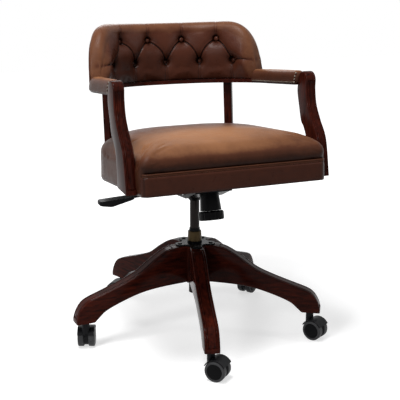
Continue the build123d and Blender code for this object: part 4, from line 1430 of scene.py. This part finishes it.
@dataclass(frozen=True)
class WheelDiscs:
    """Black discs set in the outer faces of the caster wheels, inside their grey treads."""

    stem_reach: float = 295.0
    trail: float = 17.0
    axle_height: float = 25.0
    face: float = 20.6
    yaws: tuple[float, ...] = (66.9, -48.0, -60.0, 35.0, 140.0)
    profile: tuple[Point, ...] = (
        (0.0, 0.9), (6.0, 0.85), (12.0, 0.6), (16.5, 0.3), (18.3, -0.1), (18.8, -0.6), (18.8, -1.3),
        (9.3, -1.3), (9.3, 0.2), (0.0, 0.2),
    )

    def build(self, plastic: bpy.types.Material) -> dict[str, bpy.types.Object]:
        """Build the ten discs.

        Args:
            plastic: Finish of the discs.

        Returns:
            The discs by the body that each turns with.
        """
        made = {}
        for index, yaw in enumerate(self.yaws):
            leg, turn = leg_yaw(index), math.radians(yaw)
            centre = Vector((math.cos(leg), math.sin(leg), 0.0)) * self.stem_reach
            centre += Vector((math.cos(turn), math.sin(turn), 0.0)) * self.trail
            centre.z = self.axle_height
            for sign in (-1.0, 1.0):
                wheel = f"{index + 1}_{side_name(sign)}"
                out = Vector((-math.sin(turn), math.cos(turn), 0.0)) * sign
                place = facing((centre + out * self.face) * MM, out, (MM, MM, MM))
                made[f"wheel_{wheel}"] = self.disc(f"wheel_disc_{wheel}", place, plastic)
        return made

    def disc(self, name: str, place: Matrix, plastic: bpy.types.Material) -> bpy.types.Object:
        """Spin one disc from its profile.

        Args:
            name: Name of the piece.
            place: Transform from the disc's own millimetres.
            plastic: Finish of the disc.

        Returns:
            The disc.
        """
        shape = bmesh.new()
        verts = [shape.verts.new((radius, 0.0, rise)) for radius, rise in self.profile]
        edges = [shape.edges.new(pair) for pair in zip(verts, verts[1:])]
        bmesh.ops.spin(
            shape, geom=verts + edges, cent=(0.0, 0.0, 0.0), axis=(0.0, 0.0, 1.0), angle=2 * math.pi, steps=40,
            use_merge=True, use_duplicate=False,
        )
        bmesh.ops.remove_doubles(shape, verts=shape.verts, dist=0.01)
        bmesh.ops.recalc_face_normals(shape, faces=shape.faces)
        shape.transform(place)
        return new_object(name, close_mesh(shape, name), plastic)


@dataclass(frozen=True)
class TensionCoil:
    """The tilt spring, which shortens between the collar over the knob and the bracket's nose."""

    middle: Spot = (0.0, -104.0, 329.887)
    axis: Spot = (0.0, 0.25038, 0.968148)
    foot: float = 20.3
    span: float = 39.65
    radius: float = 12.8
    wire: float = 4.0
    turns: float = 4.5
    steps: int = 30

    def build(self, steel: bpy.types.Material) -> bpy.types.Object:
        """Build the coil, which takes its rigid solid's place.

        Args:
            steel: Finish of the coil.

        Returns:
            The coil.
        """
        shape = bmesh.new()
        start = Matrix.Translation((self.radius, 0.0, self.foot)) @ Matrix.Rotation(math.pi / 2, 4, "X")
        ring = bmesh.ops.create_circle(shape, segments=10, radius=self.wire / 2, matrix=start)["verts"]
        count = round(self.turns * self.steps)
        bmesh.ops.spin(
            shape, geom=ring + edges_of(ring), cent=(0.0, 0.0, 0.0), axis=(0.0, 0.0, 1.0),
            dvec=(0.0, 0.0, self.span / count), angle=2 * math.pi * self.turns, steps=count, use_duplicate=False,
        )
        bmesh.ops.holes_fill(shape, edges=[edge for edge in shape.edges if edge.is_boundary], sides=0)
        bmesh.ops.recalc_face_normals(shape, faces=shape.faces)
        middle, axis = Vector(self.middle), Vector(self.axis)
        shape.transform(facing(middle * MM, axis, (MM, MM, MM)))
        piece = new_object("tension_coil", close_mesh(shape, "tension_coil"), steel)
        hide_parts("tension_spring")
        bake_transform(piece)
        return piece


# Carved legs and posts


@dataclass(frozen=True)
class CarvedMember:
    """A wooden member cut to a side view, with rounded edges and a beaded panel along part of it."""

    name: str
    profile: tuple[Point, ...]
    panel: tuple[int, int]
    width: float
    edge: float
    place: Matrix
    node: str
    corners: int = 8
    longest_bend: float = 30.0
    sharp_from: float = math.radians(50.0)
    beads: tuple[Point, ...] = ((0.8, 0.0), (1.0, -1.5), (1.0, 1.5), (1.2, 0.3), (1.0, -1.5), (1.0, 1.5))

    def build(self, wood: bpy.types.Material) -> bpy.types.Object:
        """Build the member in place of its plainer solid.

        Args:
            wood: Finish of the wood.

        Returns:
            The member.
        """
        shape = bmesh.new()
        layer = shape.faces.layers.int.new("panel")
        verts = [shape.verts.new((x, -self.width / 2, z)) for x, z in self.profile]
        cut = bmesh.ops.extrude_face_region(shape, geom=[shape.faces.new(verts)])["geom"]
        moved = [part for part in cut if isinstance(part, bmesh.types.BMVert)]
        bmesh.ops.translate(shape, verts=moved, vec=(0.0, self.width, 0.0))
        if not any(len(face.verts) > self.corners and face.calc_center_median().y < 0 for face in shape.faces):
            shape.faces.new(reversed(verts))
        bmesh.ops.recalc_face_normals(shape, faces=shape.faces)
        strip = [face for face in shape.faces if len(face.verts) == 4]
        rims = {edge for face in shape.faces if len(face.verts) > self.corners for edge in face.edges}
        bends = [edge for edge in shape.edges if edge in rims and edge.calc_length() < self.longest_bend]
        for face in strip:
            face[layer] = int(self.in_panel(face))
        bmesh.ops.bevel(
            shape, geom=bends, offset=self.edge, offset_type="OFFSET", segments=4, profile=0.5, affect="EDGES",
            clamp_overlap=True, material=-1,
        )
        panel = [face for face in shape.faces if face[layer] and abs(face.calc_center_median().y) < 0.2]
        for thick, deep in self.beads:
            bmesh.ops.inset_region(
                shape, faces=panel, thickness=thick, depth=deep, use_even_offset=False, use_boundary=True
            )
        shape.transform(self.place)
        mesh = close_mesh(shape, self.name)
        piece = new_object(self.name, mesh, wood)
        mesh.polygons.foreach_set("use_smooth", [len(face.vertices) <= self.corners for face in mesh.polygons])
        mesh.set_sharp_from_angle(angle=self.sharp_from)
        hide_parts(self.node)
        return piece

    def in_panel(self, face: bmesh.types.BMFace) -> bool:
        """Find whether a face of the strip is beaded.

        Args:
            face: The face.

        Returns:
            True where it lies on the beaded run of the side view.
        """
        x, z = face.calc_center_median().xz
        run = self.profile[self.panel[0] : self.panel[1] + 1]
        middles = (((x0 + x1) / 2, (z0 + z1) / 2) for (x0, z0), (x1, z1) in zip(run, run[1:]))
        return any(math.hypot(x - across, z - up) < 0.05 for across, up in middles)


@dataclass(frozen=True)
class LegShape:
    """The side view of the legs, in millimetres out from the column and up from the floor."""

    reach: float = 324.0
    width: float = 36.0
    top: float = 231.0
    root_underside: float = 136.0
    underside: float = 70.0
    foot: float = 50.0
    shoulder: float = 55.0
    root: float = 30.0
    toe_inset: float = 3.0
    edge: float = 3.6
    crest: tuple[Point, ...] = (
        (0.0, 1.0), (0.1, 0.957), (0.23, 0.83), (0.38, 0.655), (0.53, 0.545), (0.72, 0.433), (0.86, 0.352),
        (0.925, 0.278), (0.968, 0.165), (0.99, 0.05),
    )
    belly: tuple[Point, ...] = ((0.95, 0.17), (0.885, 0.365), (0.742, 0.59), (0.525, 0.835), (0.303, 0.952))

    def build(self, index: int, wood: bpy.types.Material) -> bpy.types.Object:
        """Build one leg.

        Args:
            index: Number of the leg, from 0.
            wood: Finish of the wood.

        Returns:
            The leg.
        """
        heel = self.reach - self.foot
        low, high = self.underside, self.root_underside
        over = [(between(self.shoulder, self.reach, a), between(low, self.top, u)) for a, u in self.crest]
        under = [(between(self.root, heel, a), between(low, high, u)) for a, u in self.belly]
        crest = catmull(over, 5)
        belly = catmull([(heel, low), *under, (self.root, high)], 5)
        profile = (*crest, (self.reach - self.toe_inset, self.underside), *belly, (self.root, self.top))
        place = Matrix.Rotation(leg_yaw(index), 4, "Z") @ Matrix.Scale(MM, 4)
        name, panel = f"carved_leg_{index + 1}", (2, len(crest) - 2)
        return CarvedMember(name, profile, panel, self.width, self.edge, place, f"leg_{index + 1}").build(wood)


@dataclass(frozen=True)
class PostShape:
    """The side view of the front posts, in millimetres in the seat's frame."""

    seat: SeatFrame
    inner: float = 226.3
    thickness: float = 26.0
    height: float = 247.0
    start: float = -224.0
    depth: float = 64.0
    sweep: float = 60.0
    rear_sweep: float = 42.0
    edge: float = 3.0
    front: tuple[Point, ...] = (
        (0.0, 0.012), (0.19, 0.356), (0.617, 0.538), (0.917, 0.68), (1.0, 0.82), (0.967, 0.915)
    )
    rear: tuple[Point, ...] = (
        (0.857, 0.915), (1.0, 0.81), (0.833, 0.664), (0.62, 0.518), (0.31, 0.453), (0.02, 0.324), (0.0, 0.0526)
    )

    def build(self, side: float, wood: bpy.types.Material) -> bpy.types.Object:
        """Build one front post.

        Args:
            side: -1 for the left post, 1 for the right.
            wood: Finish of the wood.

        Returns:
            The post.
        """
        front = catmull([(self.start + a * self.sweep, u * self.height) for a, u in self.front], 6)
        heel = self.start + self.depth
        rear = catmull([(heel + a * self.rear_sweep, u * self.height) for a, u in self.rear], 6)
        low, high = front[-1], rear[0]
        turns = [math.pi * step / 8 for step in range(1, 8)]
        crown = [
            (
                (low[0] + high[0]) / 2 - (high[0] - low[0]) / 2 * math.cos(turn),
                low[1] + (self.height - low[1]) * math.sin(turn),
            )
            for turn in turns
        ]
        profile, panel = (*front, *crown, *rear), (1, len(front) - 1)
        middle = side * (self.inner + self.thickness / 2)
        turned = Matrix(((0, -1, 0, middle), (1, 0, 0, 0), (0, 0, 1, 0), (0, 0, 0, 1)))
        place = self.seat.matrix @ turned
        name, node = f"carved_post_{side_name(side)}", f"front_post_{side_name(side)}"
        return CarvedMember(name, profile, panel, self.thickness, self.edge, place, node).build(wood)


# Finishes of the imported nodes


def build_finishes() -> dict[str, bpy.types.Material]:
    """Build every finish.

    Returns:
        The materials by name.
    """
    finishes = [
        Mahogany("wood_upright", upright=True),
        Mahogany("wood_level"),
        Leather("leather_back"),
        # a lighter copy of the back's leather, as painted light for the top-lit seat; the arm pads and piping take
        # it too
        Leather("leather_seat_lit", body=(0.068, 0.023, 0.0115), worn_and_lit=(0.270, 0.120, 0.052), roughness=0.4),
        Plain("black_plastic", (0.003, 0.003, 0.0035), 0.3, specular=0.05),
        Plain("caster_plastic", (0.006, 0.006, 0.007), 0.38, specular=0.08),
        Plain("black_enamel", (0.0025, 0.0025, 0.003), 0.28, specular=0.06),
        Plain("bronze_steel", (0.011, 0.007, 0.006), 0.34, specular=0.1),
        Plain("antique_brass", (0.045, 0.029, 0.011), 0.4, metallic=0.35, specular=0.1),
        Plain("aged_nails", (0.150, 0.130, 0.105), 0.4, metallic=0.7, specular=0.3),
        Plain("zinc_steel", (0.420, 0.420, 0.430), 0.35, metallic=0.9),
        Plain("wheel_tread", (0.036, 0.036, 0.038), 0.5, specular=0.2),
        Plain("dust_cloth", (0.010, 0.010, 0.011), 0.9, bump=0.4),
        Plain("sawn_wood", (0.260, 0.170, 0.090), 0.65, bump=0.2),
    ]
    finishes += [Mahogany(f"wood_leg_{index + 1}", yaw=leg_yaw(index)) for index in range(LEG_COUNT)]
    return {finish.name: finish.build() for finish in finishes}


def dress_nodes(finishes: dict[str, bpy.types.Material]) -> None:
    """Give every CAD node its finish.

    Args:
        finishes: The materials by name.
    """
    by_slot = {
        "mahogany": "wood_upright",
        "leather": "leather_back",
        "black_plastic": "black_plastic",
        "black_steel": "black_enamel",
        "bronze_steel": "bronze_steel",
        "antique_brass": "antique_brass",
        "steel": "zinc_steel",
        "tread": "wheel_tread",
        "dust_cloth": "dust_cloth",
        "frame_wood": "sawn_wood",
    }
    slots = {part["node"]: part["material_slot"] for part in frame["record"]["subparts"]}
    for name, node in frame["nodes"].items():
        finish = by_slot[slots[name]]
        if name.startswith("leg_") and name[4:].isdigit():
            finish = f"wood_{name}"
        if name == "arm_rail":
            finish = "wood_level"
        if name.endswith("_hood"):
            finish = "caster_plastic"
        node.data.materials.clear()
        node.data.materials.append(finishes[finish])


# Camera and studio


@dataclass(frozen=True)
class Camera:
    """The photograph's camera."""

    azimuth: float = math.radians(-23.1)
    elevation: float = math.radians(14.5)
    distance: float = 2.2522
    target: float = 0.3434
    sideways: float = 0.0135
    lens: float = 81.0

    def build(self) -> bpy.types.Object:
        """Place the camera.

        Returns:
            The camera.
        """
        sine, cosine = math.sin(self.azimuth), math.cos(self.azimuth)
        level = math.cos(self.elevation)
        back = Vector((sine * level, -cosine * level, math.sin(self.elevation)))
        right = Vector((cosine, sine, 0.0))
        data = bpy.data.cameras.new("camera")
        data.lens = self.lens
        data.sensor_width = 36.0
        camera = bpy.data.objects.new("camera", data)
        camera.location = Vector((0.0, 0.0, self.target)) + back * self.distance + right * self.sideways
        camera.rotation_mode = "QUATERNION"
        camera.rotation_quaternion = (-back).to_track_quat("-Z", "Y")
        bpy.context.scene.collection.objects.link(camera)
        bpy.context.scene.camera = camera
        return camera


@dataclass(frozen=True)
class Lamp:
    """One soft studio light."""

    name: str
    place: Spot
    size: float
    power: float
    aim: Spot = (0.0, 0.0, 0.4)

    def build(self) -> bpy.types.Object:
        """Place the light.

        Returns:
            The light.
        """
        data = bpy.data.lights.new(self.name, "AREA")
        data.shape = "SQUARE"
        data.size = self.size
        data.energy = self.power
        lamp = bpy.data.objects.new(self.name, data)
        lamp.location = self.place
        lamp.rotation_mode = "QUATERNION"
        lamp.rotation_quaternion = (Vector(self.aim) - Vector(self.place)).to_track_quat("-Z", "Y")
        bpy.context.scene.collection.objects.link(lamp)
        return lamp


@dataclass(frozen=True)
class Studio:
    """Plain pale floor, white surroundings and soft lights."""

    ambient: float = 0.13
    sky: Colour = (0.95, 0.97, 1.0)
    white: Colour = (1.0, 1.0, 1.0)
    floor_size: float = 6.0
    floor_colour: Colour = (0.55, 0.55, 0.55)
    floor_glow: float = 0.62
    shadow_reach: float = 0.6

    def build(self) -> None:
        """Set the studio up."""
        scene = bpy.context.scene
        scene.view_settings.view_transform = "Standard"
        world = bpy.data.worlds.new("studio")
        world.use_nodes = True
        scene.world = world
        tree = world.node_tree
        glow = tree.nodes["Background"]
        white = tree.nodes.new("ShaderNodeBackground")
        for shader, colour, strength in ((white, self.white, 1.0), (glow, self.sky, self.ambient)):
            shader.inputs["Color"].default_value = (*colour, 1.0)
            shader.inputs["Strength"].default_value = strength
        blend = tree.nodes.new("ShaderNodeMixShader")
        tree.links.new(self.seen_by(tree), blend.inputs["Fac"])
        tree.links.new(glow.outputs["Background"], blend.inputs[1])
        tree.links.new(white.outputs["Background"], blend.inputs[2])
        tree.links.new(blend.outputs["Shader"], tree.nodes["World Output"].inputs["Surface"])
        lamps = [
            Lamp("lamp_top", (-0.6, -0.5, 2.5), 0.7, 60.0),
            Lamp("lamp_left", (-2.2, -1.3, 1.7), 0.45, 24.0),
            Lamp("lamp_right", (2.2, -1.4, 1.9), 0.5, 10.0),
            Lamp("lamp_back", (0.6, 2.4, 1.9), 1.2, 16.0),
        ]
        self.floor()
        [lamp.build() for lamp in lamps]

    @staticmethod
    def seen_by(tree: bpy.types.NodeTree) -> Socket:
        """Find the rays that see the white surroundings: camera, glossy and transmission.

        Args:
            tree: Node tree to add to.

        Returns:
            1 for those rays, else 0.
        """
        path = tree.nodes.new("ShaderNodeLightPath")
        total = path.outputs["Is Camera Ray"]
        for kind in ("Is Glossy Ray", "Is Transmission Ray"):
            add = tree.nodes.new("ShaderNodeMath")
            add.operation = "MAXIMUM"
            tree.links.new(total, add.inputs[0])
            tree.links.new(path.outputs[kind], add.inputs[1])
            total = add.outputs["Value"]
        return total

    def floor(self) -> bpy.types.Object:
        """Build the pale floor, which fades to white away from the chair.

        Returns:
            The floor.
        """
        shape = bmesh.new()
        bmesh.ops.create_grid(shape, x_segments=1, y_segments=1, size=self.floor_size)
        graph = Graph("floor_white")
        graph.set(Base_Color=self.floor_colour, Roughness=0.9, Specular_IOR_Level=0.1)
        reach = graph.node("ShaderNodeVectorMath", operation="LENGTH")
        graph.join(graph.place, reach.inputs[0])
        near, far = self.shadow_reach, self.shadow_reach * 2.5
        lift = graph.remap(reach.outputs["Value"], near, far, self.floor_glow, 1.0)
        glow = graph.node("ShaderNodeEmission")
        graph.join(graph.math("MULTIPLY", self.seen_by(graph.tree), lift), glow.inputs["Strength"])
        both = graph.node("ShaderNodeAddShader")
        graph.join(graph.shader.outputs["BSDF"], both.inputs[0])
        graph.join(glow.outputs["Emission"], both.inputs[1])
        graph.join(both.outputs["Shader"], graph.tree.nodes["Material Output"].inputs["Surface"])
        floor = new_object("floor", close_mesh(shape, "floor"), graph.material)
        floor.location.z = -0.0005
        return floor


def main() -> None:
    """Build the scene in order."""
    logging.basicConfig(level=logging.INFO, format="%(message)s")
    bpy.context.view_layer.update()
    finishes = build_finishes()
    dress_nodes(finishes)
    seat = SeatFrame()
    path = RailPath(seat)
    pattern = TuftPattern()
    outline = Outline()
    back = BackPad(path, pattern)
    arms = [ArmPad(path, side) for side in (-1.0, 1.0)]
    padded = [
        back.build(finishes["leather_back"]),
        SeatCushion(seat, outline).build(finishes["leather_seat_lit"]),
        *[arm.build(finishes["leather_seat_lit"]) for arm in arms],
    ]
    covers = [
        TuftButtons(path, pattern).build(finishes["leather_back"]),
        BackShell(back).build(finishes["leather_back"]),
        Apron(seat, outline).build(finishes["leather_back"]),
        Piping(seat, outline).build(finishes["leather_seat_lit"]),
    ]
    nails = [Nailheads(arm).build(finishes["aged_nails"]) for arm in arms]
    coil = TensionCoil().build(finishes["black_enamel"])
    posts = [PostShape(seat).build(side, finishes["wood_upright"]) for side in (-1.0, 1.0)]
    legs = [LegShape().build(index, finishes[f"wood_leg_{index + 1}"]) for index in range(LEG_COUNT)]
    discs = WheelDiscs().build(finishes["black_plastic"])
    rides = [(piece, Slot.LEATHER, Body.SEAT.value) for piece in padded + covers]
    rides += [(piece, Slot.BRASS, Body.SEAT.value) for piece in nails]
    rides += [(piece, Slot.WOOD, Body.SEAT.value) for piece in posts]
    rides += [(piece, Slot.WOOD, Body.BASE.value) for piece in legs]
    rides += [(piece, Slot.PLASTIC, body) for body, piece in discs.items()]
    for piece, slot, body in rides:
        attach(piece, body)
    for piece in [coil] + [piece for piece, *_ in rides]:
        LOG.info("%s: %d faces", piece.name, len(piece.data.polygons))
    Studio().build()
    Camera().build()


if __name__ == "__main__":
    main()
